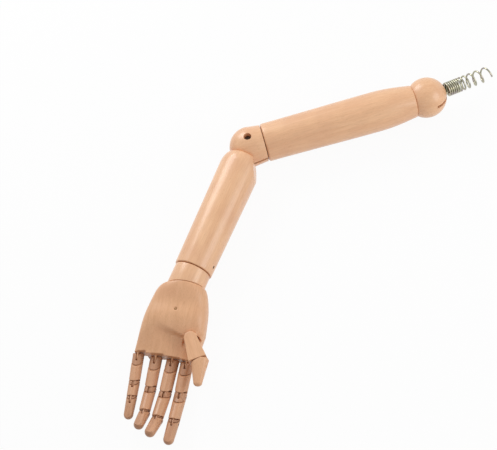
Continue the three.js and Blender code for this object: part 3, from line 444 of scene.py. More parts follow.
def hinge_bolt():
    """A bolt with a slotted cheese head, its head at +X."""
    body = turned([
        (BOLT_TIP, 0),
        (BOLT_TIP, BOLT_RADIUS - BOLT_ROUND),
        (BOLT_TIP + BOLT_ROUND, BOLT_RADIUS),
        (BOLT_HEAD_LEVEL, BOLT_RADIUS),
        (BOLT_HEAD_LEVEL, BOLT_HEAD_RADIUS),
        *arc(BOLT_HEAD_TOP - BOLT_ROUND, BOLT_HEAD_RADIUS - BOLT_ROUND, BOLT_ROUND, 90, 0, 4),
        (BOLT_HEAD_TOP, 0),
    ], 48)
    half = BOLT_DRIVE_WIDTH / 2
    return cut(body, box((BOLT_HEAD_TOP - BOLT_DRIVE_DEPTH, -half, -PAST), (PAST, half, PAST)))


bolt_steel = dull_steel("bolts")
swing_axis = joint_axis("shoulder_swing")
bolt_place = seat(joint_at("shoulder_swing"), -swing_axis, joint_axis("shoulder_twist"))
finished(hinge_bolt(), "shoulder_bolt", "screw", bolt_place, bolt_steel, "shoulder_ball")

# Shoulder link: a flat steel tongue, stamped and zinc plated, that swings in the ball's slot.
# Its eye turns on the bolt, and its straight end stands in the close turns of the spring.
LINK_THICKNESS = 2.8
LINK_EYE_RADIUS = 8.0
LINK_LENGTH = 41.0
LINK_HALF_WIDTH = 6.24
LINK_EDGE_ROUND = 0.35
SHARP_ANGLE = math.radians(35)


def eased(mesh, width):
    """The shape with its sharp edges broken by a small round."""
    bmesh.ops.dissolve_degenerate(mesh, edges=mesh.edges, dist=0.01)
    sharp = [edge for edge in mesh.edges if edge.calc_face_angle(0.0) > SHARP_ANGLE]
    bmesh.ops.bevel(mesh, geom=sharp, offset=width, affect="EDGES", segments=2, profile=0.5, material=-1,
                    clamp_overlap=True)
    return mesh


def zinc_plate(name):
    """Steel plated with zinc and passivated: bright, under a thin film tinted green, straw and pink."""
    material, tree = new_material("passivated_zinc_" + name)
    where = add_node(tree, "TexCoord")
    # The film's thickness drifts over 8 to 10 mm.
    film = noise(tree, where.outputs["Object"], 110.0, 2.0, 0.5)
    tint = add_node(tree, "ValToRGB", {"Fac": film})
    green, pink = tint.color_ramp.elements
    green.position, pink.position = 0.3, 0.7
    green.color, pink.color = linear("#A09F92"), linear("#A2959A")
    tint.color_ramp.elements.new(0.5).color = linear("#B4B198")
    # Drawing lines and handling marks, 0.3 mm apart.
    marks = noise(tree, where.outputs["Object"], 3000.0, 2.0, 0.6)
    shader = add_node(tree, "BsdfPrincipled", {
        "Base Color": tint.outputs[0], "Roughness": ranged(tree, marks, 0.0, 1.0, 0.1, 0.32),
        "Metallic": 1.0})
    add_node(tree, "OutputMaterial", {"Surface": shader.outputs[0]})
    return material


def middle_of_range(name):
    """The angle, in radians, from a joint's zero to the middle of its range."""
    low, high = joints[name]["range_deg"]
    return math.radians(low + high) / 2


half = LINK_THICKNESS / 2
link = cut(rod(LINK_EYE_RADIUS, -half, half, 96),
           box((0, -LINK_HALF_WIDTH, -half), (LINK_LENGTH, LINK_HALF_WIDTH, half)), "UNION")
link = cut(link, rod(BOLT_RADIUS + PIN_PLAY, -LINK_THICKNESS, LINK_THICKNESS))
swing_turn = Matrix.Rotation(-middle_of_range("shoulder_swing"), 3, swing_axis)
link_place = seat(joint_at("shoulder_swing"), swing_turn @ joint_axis("shoulder_twist"), swing_axis)
finished(eased(link, LINK_EDGE_ROUND), "shoulder_link", "plate", link_place, zinc_plate("link"),
         "shoulder_link")

# Shoulder spring: a coil of round zinc-plated wire. Six close turns grip the link, and the rest open
# outwards, so that the arm can be pushed into the shoulder of a dress form and held there.
SPRING_WIRE = 2.0
SPRING_RADIUS = 7.7
SPRING_START = BALL_RADIUS + 2.5
SPRING_CLOSE_TURNS = 6
SPRING_TURNS = 11.5
SPRING_CLOSE_PITCH = 2.5
SPRING_OPENING = 0.88
SPRING_STEPS = 40


def spring_point(turn):
    """A point of the wire's middle line, a number of turns from the ball."""
    opened = max(turn - SPRING_CLOSE_TURNS, 0)
    along = SPRING_START + SPRING_CLOSE_PITCH * turn + SPRING_OPENING * opened ** 2
    angle = turn * math.tau
    return link_place @ Vector((along, SPRING_RADIUS * math.cos(angle), SPRING_RADIUS * math.sin(angle)))


coil = bpy.data.curves.new("shoulder_spring_wire", "CURVE")
coil.dimensions = "3D"
coil.bevel_depth = SPRING_WIRE / 2 * MM
coil.bevel_resolution = 6
coil.use_fill_caps = True
wire = coil.splines.new("POLY")
wire.points.add(round(SPRING_TURNS * SPRING_STEPS))
for i, point in enumerate(wire.points):
    point.co = (*spring_point(i / SPRING_STEPS), 1)
wire.use_smooth = True
spring = bpy.data.objects.new("shoulder_spring_wire", coil)
bpy.context.scene.collection.objects.link(spring)
coil.materials.append(zinc_plate("spring"))
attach(spring, "shoulder_link")
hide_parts("shoulder_spring")

# Elbow knuckle: a beech fork with a ball end that swivels on the upper arm.
# A saw slot takes the forearm's steel tongue, and the bolt goes in from the top through a counterbore.
KNUCKLE_RADIUS = 23.8
KNUCKLE_BASE_RADIUS = 21.7
KNUCKLE_EDGE_ROUND = 0.8
KNUCKLE_SLOT_HALF = 1.55
KNUCKLE_SLOT_BOTTOM = 9.4
KNUCKLE_SLOT_TURN = math.radians(35)

knuckle_profile = [
    *arc(0, 0, KNUCKLE_RADIUS, 180, 90, 32),
    *arc(KNUCKLE_BASE - KNUCKLE_EDGE_ROUND, KNUCKLE_BASE_RADIUS - KNUCKLE_EDGE_ROUND, KNUCKLE_EDGE_ROUND,
         80, 0, 4),
    *reversed(spigot(KNUCKLE_BASE + SPIGOT_LENGTH, KNUCKLE_BASE, ELBOW_BRAD_AT)),
]
slot = box((-WELL_PAST, -WELL_PAST, -KNUCKLE_SLOT_HALF),
           (KNUCKLE_SLOT_BOTTOM, WELL_PAST, KNUCKLE_SLOT_HALF))
slot = moved(slot, Matrix.Rotation(KNUCKLE_SLOT_TURN, 4, "Z"))
slot = cut(slot, box((-FAR_PAST, -FAR_PAST, -PAST), (KNUCKLE_BASE, FAR_PAST, PAST)), "INTERSECT")
knuckle = cut(cut(turned(knuckle_profile), slot), bolt_hole())
elbow_axis = joint_axis("elbow_flex")
knuckle_place = seat(joint_at("elbow_flex"), joint_axis("elbow_twist"), elbow_axis)
wooden(knuckle, "elbow_knuckle", knuckle_place, ARM_BEECH, shift=90)

# Elbow bolt: the same slotted screw as at the shoulder, sunk in the knuckle's upper cheek.
# It crosses the slot and the eye of the forearm's tongue, and the elbow bends about it.
elbow_bolt_place = seat(joint_at("elbow_flex"), elbow_axis, joint_axis("elbow_twist"))
finished(hinge_bolt(), "elbow_bolt", "screw", elbow_bolt_place, bolt_steel, "elbow_knuckle")

# Forearm: a turned beech taper, hollowed over the knuckle, with a flat pared off inside the bend.
# Its wrist end is bored for the wrist block's spigot.
SEAT_RADIUS = KNUCKLE_RADIUS + BALL_PLAY
FOREARM_RIM_AT = 17.5
FOREARM_RIM = 1.0
FOREARM_FULL_AT = 34.0
FOREARM_FULL_RADIUS = 24.0
FOREARM_SHOULDER_STEPS = 16
FOREARM_LENGTH = 167.0
FOREARM_WRIST_RADIUS = 21.5
FOREARM_EDGE_ROUND = 1.25
RELIEF_TURN = math.radians(23.3)
RELIEF_OFFSET = 5.0
WRIST_BLOCK_AT = FOREARM_LENGTH + 0.6
WRIST_SPIGOT_TIP = WRIST_BLOCK_AT - SPIGOT_LENGTH
WRIST_BRAD_AT = FOREARM_LENGTH - 9.5
WRIST_BRAD_TURN = math.radians(98)
TONGUE_THICKNESS = 2.5
TONGUE_EYE_RADIUS = 9.0
TONGUE_LENGTH = 50.0


def forearm_radius(along):
    share = (along - FOREARM_FULL_AT) / (FOREARM_LENGTH - FOREARM_FULL_AT)
    return FOREARM_FULL_RADIUS + (FOREARM_WRIST_RADIUS - FOREARM_FULL_RADIUS) * share


rim_angle = math.degrees(math.acos(FOREARM_RIM_AT / SEAT_RADIUS))
rim_radius = SEAT_RADIUS * math.sin(math.radians(rim_angle))
rim_round = FOREARM_RIM / 2
steps = FOREARM_SHOULDER_STEPS
shoulder_turns = [math.radians(90 * i / steps) for i in range(1, steps + 1)]
shoulder_rise = forearm_radius(FOREARM_FULL_AT) - rim_radius - FOREARM_RIM
edge_at = FOREARM_LENGTH - FOREARM_EDGE_ROUND
forearm_profile = [
    *arc(0, 0, SEAT_RADIUS, 0, rim_angle, 24),
    *arc(FOREARM_RIM_AT, rim_radius + rim_round, rim_round, 250, 100, 6),
    *((FOREARM_FULL_AT - (FOREARM_FULL_AT - FOREARM_RIM_AT) * math.cos(turn),
       rim_radius + FOREARM_RIM + shoulder_rise * math.sin(turn)) for turn in shoulder_turns),
    *arc(edge_at, forearm_radius(edge_at) - FOREARM_EDGE_ROUND, FOREARM_EDGE_ROUND, 90, 0, 8),
    (FOREARM_LENGTH, bore_radius),
    (WRIST_SPIGOT_TIP - BORE_END_PLAY, bore_radius),
    (WRIST_SPIGOT_TIP - BORE_END_PLAY, 0),
]
slot_half = TONGUE_THICKNESS / 2 + PIN_PLAY
slot_side = TONGUE_EYE_RADIUS + PIN_PLAY
forearm = cut(turned(forearm_profile, 128),
              box((0, -slot_side, -slot_half), (TONGUE_LENGTH + BORE_END_PLAY, slot_side, slot_half)))
relief = box((-FAR_PAST, RELIEF_OFFSET, -FAR_PAST), (FAR_PAST,) * 3)
forearm = cut(forearm, moved(relief, Matrix.Rotation(RELIEF_TURN, 4, "Z")))
forearm = cut(forearm, brad_hole(forearm_radius(WRIST_BRAD_AT), WRIST_BRAD_AT, WRIST_BRAD_TURN))
wrist_axis = joint_axis("wrist_twist")
forearm_place = seat(joint_at("elbow_flex"), wrist_axis, elbow_axis)
wooden(forearm, "forearm", forearm_place, ARM_BEECH, shift=150)

# Elbow tongue: a stamped steel plate let into the forearm, with its eye on the elbow bolt.
# It is zinc plated, and goes to and fro in the knuckle's slot.
TONGUE_EDGE_ROUND = 0.3


def strap(radius, reach, thickness):
    """A flat strap with a round end about the origin and a square end at a reach along X."""
    mesh = rod(radius, -thickness / 2, thickness / 2, 64)
    for vert in mesh.verts:
        if vert.co.x * reach > 0.001:
            vert.co.x = reach
    return mesh


tongue = cut(strap(TONGUE_EYE_RADIUS, TONGUE_LENGTH, TONGUE_THICKNESS),
             rod(BOLT_RADIUS + PIN_PLAY, -TONGUE_THICKNESS, TONGUE_THICKNESS))
finished(eased(tongue, TONGUE_EDGE_ROUND), "elbow_tongue", "plate", forearm_place, zinc_plate("tongue"),
         "forearm")

# Wrist brad: the nail that shows beside the wrist line, driven in from the inner side of the forearm.
# It runs in the ring groove of the wrist block's spigot.
to_axis = Matrix.Rotation(WRIST_BRAD_TURN, 3, "X") @ Vector((0, 0, 1))
inwards = forearm_place.to_3x3().normalized() @ to_axis
nail_place = seat(forearm_place @ Vector((WRIST_BRAD_AT, 0, 0)), inwards, wrist_axis)
finished(brad(forearm_radius(WRIST_BRAD_AT)), "wrist_brad", "nail", nail_place, nail_steel,
         "forearm")

# Wrist block: a short beech cylinder that swivels in the forearm on its spigot.
# Its outer end is sawn aslant, and a second spigot, square to that face, carries the palm.
WRIST_RADIUS = 20.3
PALM_HEEL = 31.2
PALM_SPIGOT_REACH = 5.0
PALM_SPIGOT_SET_IN = 1.0
SEAM_ROUND = 0.5

wrist_place = seat(joint_at("wrist_twist"), wrist_axis, elbow_axis)
palm_place = seat(joint_at("palm_twist"), joint_axis("palm_twist"), elbow_axis)
to_palm = wrist_place.inverted() @ palm_place
from_palm = to_palm.inverted()
wrist_profile = [
    *spigot(WRIST_SPIGOT_TIP - WRIST_BLOCK_AT, 0, WRIST_BRAD_AT - WRIST_BLOCK_AT),
    *arc(FOREARM_EDGE_ROUND, WRIST_RADIUS - FOREARM_EDGE_ROUND, FOREARM_EDGE_ROUND, 180, 90, 8),
    (to_palm.translation.x, WRIST_RADIUS),
    (to_palm.translation.x, 0),
]
wrist = cut(turned(wrist_profile), moved(box((-PALM_HEEL, -FAR_PAST, -FAR_PAST), (FAR_PAST,) * 3), to_palm))
seam = [edge for edge in wrist.edges
        if all(abs((from_palm @ vert.co).x + PALM_HEEL) < 0.01 for vert in edge.verts)]
bmesh.ops.bevel(wrist, geom=seam, offset=SEAM_ROUND, affect="EDGES", segments=3, profile=0.5, material=-1,
                clamp_overlap=True)
peg_root = -PALM_HEEL - PALM_SPIGOT_SET_IN
peg = turned([(peg_root, 0), *reversed(spigot(PALM_SPIGOT_REACH, peg_root, 0))])
wrist = cut(wrist, moved(peg, to_palm), "UNION")
wooden(wrist, "wrist_block", wrist_place, ARM_BEECH, shift=210)

# Palm: a carved beech block, round at the heel where it meets the wrist block, with a flat back.
# It is bored for the wrist block's spigot, hollowed towards the thumb, and cut square for each finger.
# Short wooden tongues in these seats carry the fingers' pins.
HAND_BEECH = ("#F0BB90", "#DDA67A", "#B27A52")
HAND_GLOSS = 0.1
SEAM_GAP = 0.4
PALM_START = SEAM_GAP - PALM_HEEL
PALM_LENGTH = 54.0
PALM_HALF_BREADTH = 37.9
PALM_MIDDLE_SIDE = -5.3
PALM_WIDEST_AT = 20.0
PALM_HEEL_FLARE = 0.42
PALM_LITTLE_SIDE_FLARE = 0.4
PALM_HEEL_LENGTH = 28.0
PALM_THUMB_SIDE_DRAW = 7.5
PALM_BACK = 24.0
PALM_BACK_SPARE = 0.6
PALM_MOUND = 14.5
PALM_MOUND_END = 2.0
PALM_FRONT_TOP = -4.0
PALM_SQUARENESS = 3.2
PALM_ROWS = 60
PALM_SIDES = 160
PALM_GRIT = 0.5
CREASE_END = Vector((26.0, 11.0))
CREASE_ALONG = Vector((0.40, 0.916))
CREASE_DEPTH = 4.5
HOLLOW_RUN = (40.0, 6.0)
HOLLOW_FALL = (26.0, 6.0)
HOLLOW_WALL = 1.5
HOLLOW_WALL_OPENING = 0.3
HOLLOW_RIM = 0.5
THUMB_PIN_AT = (PALM_LENGTH - 25.0, 21.0)
THUMB_LEVEL = 4.0
THUMB_CAP_RADIUS = 6.8
THUMB_END_HALF_WIDTH = 9.8
THUMB_HALF_HEIGHT = 8.0
THUMB_TONGUE_RADIUS = 5.0
THUMB_TONGUE_THICKNESS = 4.0
THUMB_TONGUE_ROOT = 0.7
THUMB_PIN_RADIUS = 1.2
THUMB_NOTCH_TURN = math.radians(56)
SEAT_PLAY = 0.4
BUTT_GAP = 0.3
FINGERS = ("index", "middle", "ring", "little")
PIN_RADIUS = 1.0
PIN_REACH = 5.4
FINGER_TONGUE_THICKNESS = 1.8
FINGER_TONGUE_RADIUS = 4.4
FINGER_TONGUE_ROOT = 2.4
FINGER_SEAT_HALF_WIDTH = 10.0

palm_lean = math.atan2(to_palm[1][0], to_palm[0][0])
heel_middle = (PALM_HEEL * math.sin(palm_lean) - to_palm.translation.y) / math.cos(palm_lean)
heel_half = WRIST_RADIUS / math.cos(palm_lean)


def palm_span(along):
    """The palm's span across: as broad as the wrist block at the heel, and flaring to its full breadth."""
    share = min((along - PALM_START) / (PALM_WIDEST_AT - PALM_START), 1)
    flare = (1 - (1 - share) ** 2) ** PALM_HEEL_FLARE
    past = max((along - PALM_WIDEST_AT) / (PALM_LENGTH - PALM_WIDEST_AT), 0)
    share = (along - PALM_START) / (PALM_LENGTH - PALM_START)
    low, high = heel_middle - heel_half, heel_middle + heel_half
    low += (PALM_MIDDLE_SIDE - PALM_HALF_BREADTH - low) * max(share, 0) ** PALM_LITTLE_SIDE_FLARE
    high += (PALM_MIDDLE_SIDE + PALM_HALF_BREADTH - high) * flare
    return low, high - PALM_THUMB_SIDE_DRAW * past


def palm_section(along):
    """The palm's span across and in height, and how squared-off its oval is."""
    share = min((along - PALM_START) / PALM_HEEL_LENGTH, 1)
    fall = max((along - PALM_MOUND_END) / (PALM_LENGTH - PALM_MOUND_END), 0)
    back = ease(-WRIST_RADIUS, -PALM_BACK - PALM_BACK_SPARE, share)
    mound = ease(WRIST_RADIUS, PALM_MOUND, share) + ease(0, PALM_FRONT_TOP - PALM_MOUND, fall)
    return palm_span(along), (back, mound), 2 + (PALM_SQUARENESS - 2) * share


def spread(value, span, squareness):
    """A place in a span, for a value from -1 to 1, along a squared-off oval."""
    share = math.copysign(abs(value) ** (2 / squareness), value)
    return (span[0] + span[1]) / 2 + share * (span[1] - span[0]) / 2


def smooth_step(low, high, value):
    """A share that goes smoothly from 0 at one value to 1 at another, and stays there."""
    return ease(0, 1, min(max((value - low) / (high - low), 0), 1))


def hollow_depth(along, across):
    """How deep the palm's hollow is: it starts at a crease by the thumb and fades out across the palm."""
    place = Vector((along, across)) - CREASE_END
    run = -place.dot(CREASE_ALONG)
    ahead = place.dot(Vector((CREASE_ALONG.y, -CREASE_ALONG.x)))
    fade = smooth_step(*HOLLOW_RUN, run) * smooth_step(*HOLLOW_FALL, ahead)
    wall = HOLLOW_WALL + HOLLOW_WALL_OPENING * max(run, 0)
    return CREASE_DEPTH * fade * smooth_step(0, wall, ahead)


def palm_block():
    """A round bar with rows of points along it, drawn out to the palm's sections and hollowed on top."""
    block = turned([(0, 0), *((i, 1) for i in range(PALM_ROWS + 1)), (PALM_ROWS, 0)], PALM_SIDES)
    for vert in block.verts:
        along = PALM_START + (PALM_LENGTH - PALM_START) * vert.co.x / PALM_ROWS
        across, height, squareness = palm_section(along)
        side = spread(vert.co.y, across, squareness)
        level = spread(vert.co.z, height, squareness)
        if vert.co.z > 0:
            level -= hollow_depth(along, side) * smooth_step(0, HOLLOW_RIM, vert.co.z)
        vert.co = (along, side, level)
    return block


def sanded(mesh, grit, passes=4):
    """The shape with all its edges softened, as by sanding: remeshed at a small size and smoothed."""
    blank = as_object(mesh, "blank")
    step = blank.modifiers.new("sand", "REMESH")
    step.mode = "VOXEL"
    step.voxel_size = grit
    shape = bmesh.new()
    shape.from_object(blank, bpy.context.evaluated_depsgraph_get())
    bpy.data.meshes.remove(blank.data)
    for _ in range(passes):
        bmesh.ops.smooth_vert(shape, verts=shape.verts, factor=0.5, use_axis_x=True, use_axis_y=True,
                              use_axis_z=True)
    return shape


def finger_tongue(top=FINGER_TONGUE_RADIUS):
    """The tongue that carries a finger's pin, round or flat on the palm side, with its root in the wood."""
    tongue = strap(FINGER_TONGUE_RADIUS, -PIN_REACH - FINGER_TONGUE_ROOT, FINGER_TONGUE_THICKNESS)
    for vert in tongue.verts:
        vert.co.y = min(vert.co.y, top)
    return moved(tongue, Matrix.Rotation(math.pi / 2, 4, "X"))


def along_rod(radius, low, high, sides=48):
    """A round bar along X."""
    return moved(rod(radius, low, high, sides), Matrix.Rotation(math.pi / 2, 4, "Y"))


def across_rod(radius, low, high, sides=32):
    """A round bar along Y."""
    return moved(rod(radius, -high, -low, sides), Matrix.Rotation(math.pi / 2, 4, "X"))


def first_pin(finger):
    """Where a finger's first pin lies in the palm, with the finger's splay."""
    near, far = joint_at(finger + "_proximal_bend"), joint_at(finger + "_middle_bend")
    pin = palm_place.inverted() @ near
    reach = palm_place.inverted() @ far - pin
    return Matrix.Translation(pin) @ Matrix.Rotation(math.atan2(reach.y, reach.x), 4, "Z")


palm = cut(palm_block(), box((-FAR_PAST,) * 3, (FAR_PAST, FAR_PAST, -PALM_BACK)))
palm = cut(palm, along_rod(bore_radius, -WELL_PAST, PALM_SPIGOT_REACH + BORE_END_PLAY))
palm = cut(palm, brad_hole(PALM_MOUND, 0, math.pi))
thumb_floor = THUMB_LEVEL - THUMB_HALF_HEIGHT - BUTT_GAP
notch_radius = THUMB_CAP_RADIUS + SEAT_PLAY
notch_side = -THUMB_END_HALF_WIDTH - SEAT_PLAY
thumb_pin = Matrix.Translation((*THUMB_PIN_AT, 0))
palm = cut(palm, moved(rod(notch_radius, thumb_floor, WELL_PAST, 96), thumb_pin))
for wall_start, side_start in ((-FAR_PAST, 0), (0, -FAR_PAST)):
    wall = moved(box((wall_start, -2 * FAR_PAST, thumb_floor), (FAR_PAST, notch_radius, WELL_PAST)),
                 Matrix.Rotation(THUMB_NOTCH_TURN, 4, "Z"))
    room = cut(box((side_start, notch_side, -FAR_PAST), (FAR_PAST,) * 3), wall, "INTERSECT")
    palm = cut(palm, moved(room, thumb_pin))
thumb_tongue = strap(THUMB_TONGUE_RADIUS, -notch_radius - THUMB_TONGUE_ROOT, THUMB_TONGUE_THICKNESS)
palm = cut(palm, moved(thumb_tongue, thumb_pin @ Matrix.Translation((0, 0, THUMB_LEVEL))), "UNION")
palm = cut(palm, moved(rod(THUMB_PIN_RADIUS + PIN_PLAY, thumb_floor - PIN_PLAY, WELL_PAST), thumb_pin))
for finger in FINGERS:
    finger_seat = box((-PIN_REACH, -FINGER_SEAT_HALF_WIDTH, -WELL_PAST),
                      (WELL_PAST, FINGER_SEAT_HALF_WIDTH, WELL_PAST))
    palm = cut(palm, moved(finger_seat, first_pin(finger)))
for finger in FINGERS:
    palm = cut(palm, moved(finger_tongue(), first_pin(finger)), "UNION")
    pin_hole = across_rod(PIN_RADIUS + PIN_PLAY, -FINGER_TONGUE_THICKNESS, FINGER_TONGUE_THICKNESS)
    palm = cut(palm, moved(pin_hole, first_pin(finger)))
wooden(sanded(palm, PALM_GRIT), "palm", palm_place, HAND_BEECH, shift=260, gloss=HAND_GLOSS)

# Palm brad: a nail through the palm into the groove of the wrist block's spigot.
# Its head shows in the heel of the palm, lacquered over with the wood.
palm_nail_place = seat(joint_at("palm_twist"), -elbow_axis, joint_axis("palm_twist"))
lacquered_steel = dull_steel("palm_nail", "#A98560", "#7C5C42")
finished(brad(PALM_MOUND), "palm_brad", "nail", palm_nail_place, lacquered_steel, "palm")

# Fingers: three turned beech pieces each, slotted for the tongue of the piece before and pinned across.
# On the palm side a piece is eased round its pin into brown cheeks. At the middle and the last joint these
# come up under a hollowed lip of the piece before. The tips have flat pads.
FINGER_BEECH = ("#E2B18A", "#C48C65", "#966347")
FINGERTIP_BEECH = ("#D4A27C", "#B4805D", "#8A5A40")
FINGER_FIGURE = 1.0
FINGER_GRIT = 0.3
FINGER_SANDING = 2
GRAIN_START = 320
GRAIN_PER_FINGER = 70
GRAIN_PER_PIECE = 23
FINGER_PIECES = ("proximal", "middle", "distal")
FINGER_RADII = {
    "index": (7.2, 6.8, 6.3, 5.6),
    "middle": (7.2, 6.8, 6.3, 5.6),
    "ring": (6.8, 6.4, 6.0, 5.3),
    "little": (6.4, 6.0, 5.7, 5.0),
}
FINGERTIP_LENGTHS = {"index": 29.0, "middle": 31.5, "ring": 28.2, "little": 26.5}
FINGER_EDGE_ROUND = 0.7
HINGE_GAP = 0.7
CHEEK_RADIUS = 5.1
CHEEK_PLAY = 0.3
CHEEK_CROWN_END = math.radians(60)
CHEEK_DROP = 1.2
CHEEK_SLOPE = math.radians(39)
CHEEK_LINE = 0.7
CHEEK_LINE_DEPTH = 3.0
CHEEK_ENDS = {
    "index": (15, 12, 3),
    "middle": (15, 8, 2),
    "ring": (15, 7, 2),
    "little": (13, 4, 2),
}
LIP_ENDS = (3.0, 4.0, PIN_REACH)
LIP_BACK = 0.5
LIP_HOLLOW_LOW = -1.0
PAD_LENGTH = 18.0
PAD_DROP = 2.6
PIN_CHAMFER = 0.3
PIN_SHORTFALL = 0.4


def dowel(radius, low, high):
    """A pin along X with broken edges."""
    return turned([
        (low, 0),
        (low, radius - PIN_CHAMFER),
        (low + PIN_CHAMFER, radius),
        (high - PIN_CHAMFER, radius),
        (high, radius - PIN_CHAMFER),
        (high, 0),
    ], 32)


def finger_body(radius, end_radius, length, last, lip_end=PIN_REACH):
    """A turned piece, square at its hinge, with a rounded tip or a lip towards the next pin."""
    back = HINGE_GAP - PIN_REACH
    front = length - lip_end
    edge = FINGER_EDGE_ROUND
    profile = [(back, 0), *arc(back + edge, radius - edge, edge, 180, 90, 4)]
    if last:
        profile += arc(front - end_radius, 0, end_radius, 90, 0, 16)
    else:
        profile += [*arc(front - edge, end_radius - edge, edge, 90, 0, 4), (front, 0)]
    return turned(profile, 64)


def hinge_cut(body, pin_end=PAST):
    """The body with its slot and pin hole, for a pin at the origin."""
    slot_half = FINGER_TONGUE_THICKNESS / 2 + PIN_PLAY
    slot_end = FINGER_TONGUE_RADIUS + BORE_END_PLAY
    body = cut(body, box((-PAST, -slot_half, -PAST), (slot_end, slot_half, PAST)))
    return cut(body, across_rod(PIN_RADIUS + PIN_PLAY, -PAST, pin_end))


def lowered_bar(radius, drop):
    """A round bar along X, let down below the axis."""
    return moved(along_rod(radius, -FAR_PAST, FAR_PAST, 96), Matrix.Translation((0, 0, -drop)))


def cheeks(body, radius, end, crowned):
    """The body with its palm side eased round the pin and let in a little, up to a slanting line.
    A crowned one is fuller over the pin, where it comes up under the lip of the piece before it."""
    slant = Matrix.Translation((end, 0, radius)) @ Matrix.Rotation(math.pi / 2 - CHEEK_SLOPE, 4, "Y")
    let_in = moved(box((-PAST, -PAST, -WELL_PAST), (0, PAST, PAST)), slant)
    let_in = cut(let_in, lowered_bar(radius, CHEEK_DROP))
    palm_side = box((-PAST, -PAST, 0), (0, PAST, PAST))
    if crowned:
        let_in = cut(let_in, across_rod(radius - CHEEK_PLAY, -WELL_PAST, WELL_PAST, 96))
        below = box((-WELL_PAST,) * 3, (WELL_PAST, WELL_PAST, 0))
        below = moved(below, Matrix.Rotation(CHEEK_CROWN_END, 4, "Y"))
        palm_side = cut(palm_side, below, "INTERSECT")
    body = cut(body, let_in)
    body = cut(body, cut(palm_side, across_rod(CHEEK_RADIUS, -WELL_PAST, WELL_PAST, 96)))
    line = moved(box((-CHEEK_LINE, -PAST, -WELL_PAST), (0, PAST, PAST)), slant)
    return cut(body, cut(line, lowered_bar(radius, CHEEK_LINE_DEPTH)))


def lipped(body, radius):
    """The body with its back cut square before the next pin, which is at the origin here, and with its palm
    side hollowed round that pin."""
    body = cut(body, box((-PIN_REACH, -PAST, -PAST), (PAST, PAST, LIP_BACK)))
    below = box((-PAST, -WELL_PAST, -PAST), (PAST, WELL_PAST, LIP_HOLLOW_LOW))
    return cut(body, cut(across_rod(radius, -PAST, PAST, 96), below))


def finger_piece(radius, end_radius, length, cheek_end, order):
    """A piece with its pin at the origin and the next pin, or its tip, at +X. The palm side is +Z."""
    last = order == len(FINGER_PIECES) - 1
    body = finger_body(radius, end_radius, length, last, LIP_ENDS[order])
    body = hinge_cut(cheeks(body, radius, cheek_end, order > 0))
    next_pin = Matrix.Translation((length, 0, 0))
    if last:
        pad = Matrix.Rotation(math.atan2(PAD_DROP, PAD_LENGTH), 4, "Y")
        pad = Matrix.Translation((length - PIN_REACH - PAD_LENGTH, 0, end_radius)) @ pad
        body = cut(body, moved(box((-PAST, -PAST, 0), (PAST, PAST, PAST)), pad))
    else:
        body = lipped(moved(body, next_pin.inverted()), end_radius)
        body = cut(body, finger_tongue(), "UNION")
        body = moved(cut(body, across_rod(PIN_RADIUS + PIN_PLAY, -PAST, PAST)), next_pin)
    return sanded(body, FINGER_GRIT, FINGER_SANDING)


def hinge_seat(joint, along):
    """The place of a piece that bends on a joint, whose pin lies along the piece's own Y axis."""
    return seat(joint_at(joint), along, joint_axis(joint).cross(along))


def bent(joint, along):
    """The direction of the piece past a joint, whose low limit is the straight finger."""
    return Matrix.Rotation(math.radians(-joints[joint]["range_deg"][0]), 3, joint_axis(joint)) @ along


pin_steel = dull_steel("pins")
outwards = Vector((math.sin(CHEEK_SLOPE), 0, -math.cos(CHEEK_SLOPE)))
for rank, finger in enumerate(FINGERS):
    radii = FINGER_RADII[finger]
    names = [f"{finger}_{part}" for part in FINGER_PIECES]
    for i, name in enumerate(names):
        joint = name + "_bend"
        last = i == len(names) - 1
        if last:
            along = bent(joint, along)
            length = FINGERTIP_LENGTHS[finger]
        else:
            along = joint_at(names[i + 1] + "_bend") - joint_at(joint)
            length = along.length / MM
        piece_place = hinge_seat(joint, along)
        shape = finger_piece(radii[i], radii[i + 1], length, CHEEK_ENDS[finger][i], i)
        shift = GRAIN_START + GRAIN_PER_FINGER * rank + GRAIN_PER_PIECE * i
        cheek = outwards, outwards.dot(Vector((CHEEK_ENDS[finger][i], 0, radii[i])))
        wooden(shape, name, piece_place, FINGERTIP_BEECH if last else FINGER_BEECH, shift=shift,
               figure=FINGER_FIGURE, gloss=HAND_GLOSS, cheek=cheek)
        pin_place = seat(joint_at(joint), joint_axis(joint), along)
        pin_half = radii[i] - PIN_SHORTFALL
        finished(dowel(PIN_RADIUS, -pin_half, pin_half), name + "_pin", "dowel", pin_place, pin_steel,
                 name)

# Thumb root: a rounded beech wedge on an upright pin, which swings in the notch of the palm.
# It is slotted for the palm's tongue, and a tongue of its own carries the thumb's tip.
THUMB_ROUND = 2.4
THUMB_ROUNDING_GRIT = 0.5
THUMB_ROUNDING = 14
THUMB_GRIT = 0.35
THUMB_ROOT_SANDING = 2
THUMB_PIN_COVER = 2.5
THUMB_TONGUE_TOP = 2.0
THUMB_TIP_PIN_SIDE = 4.5

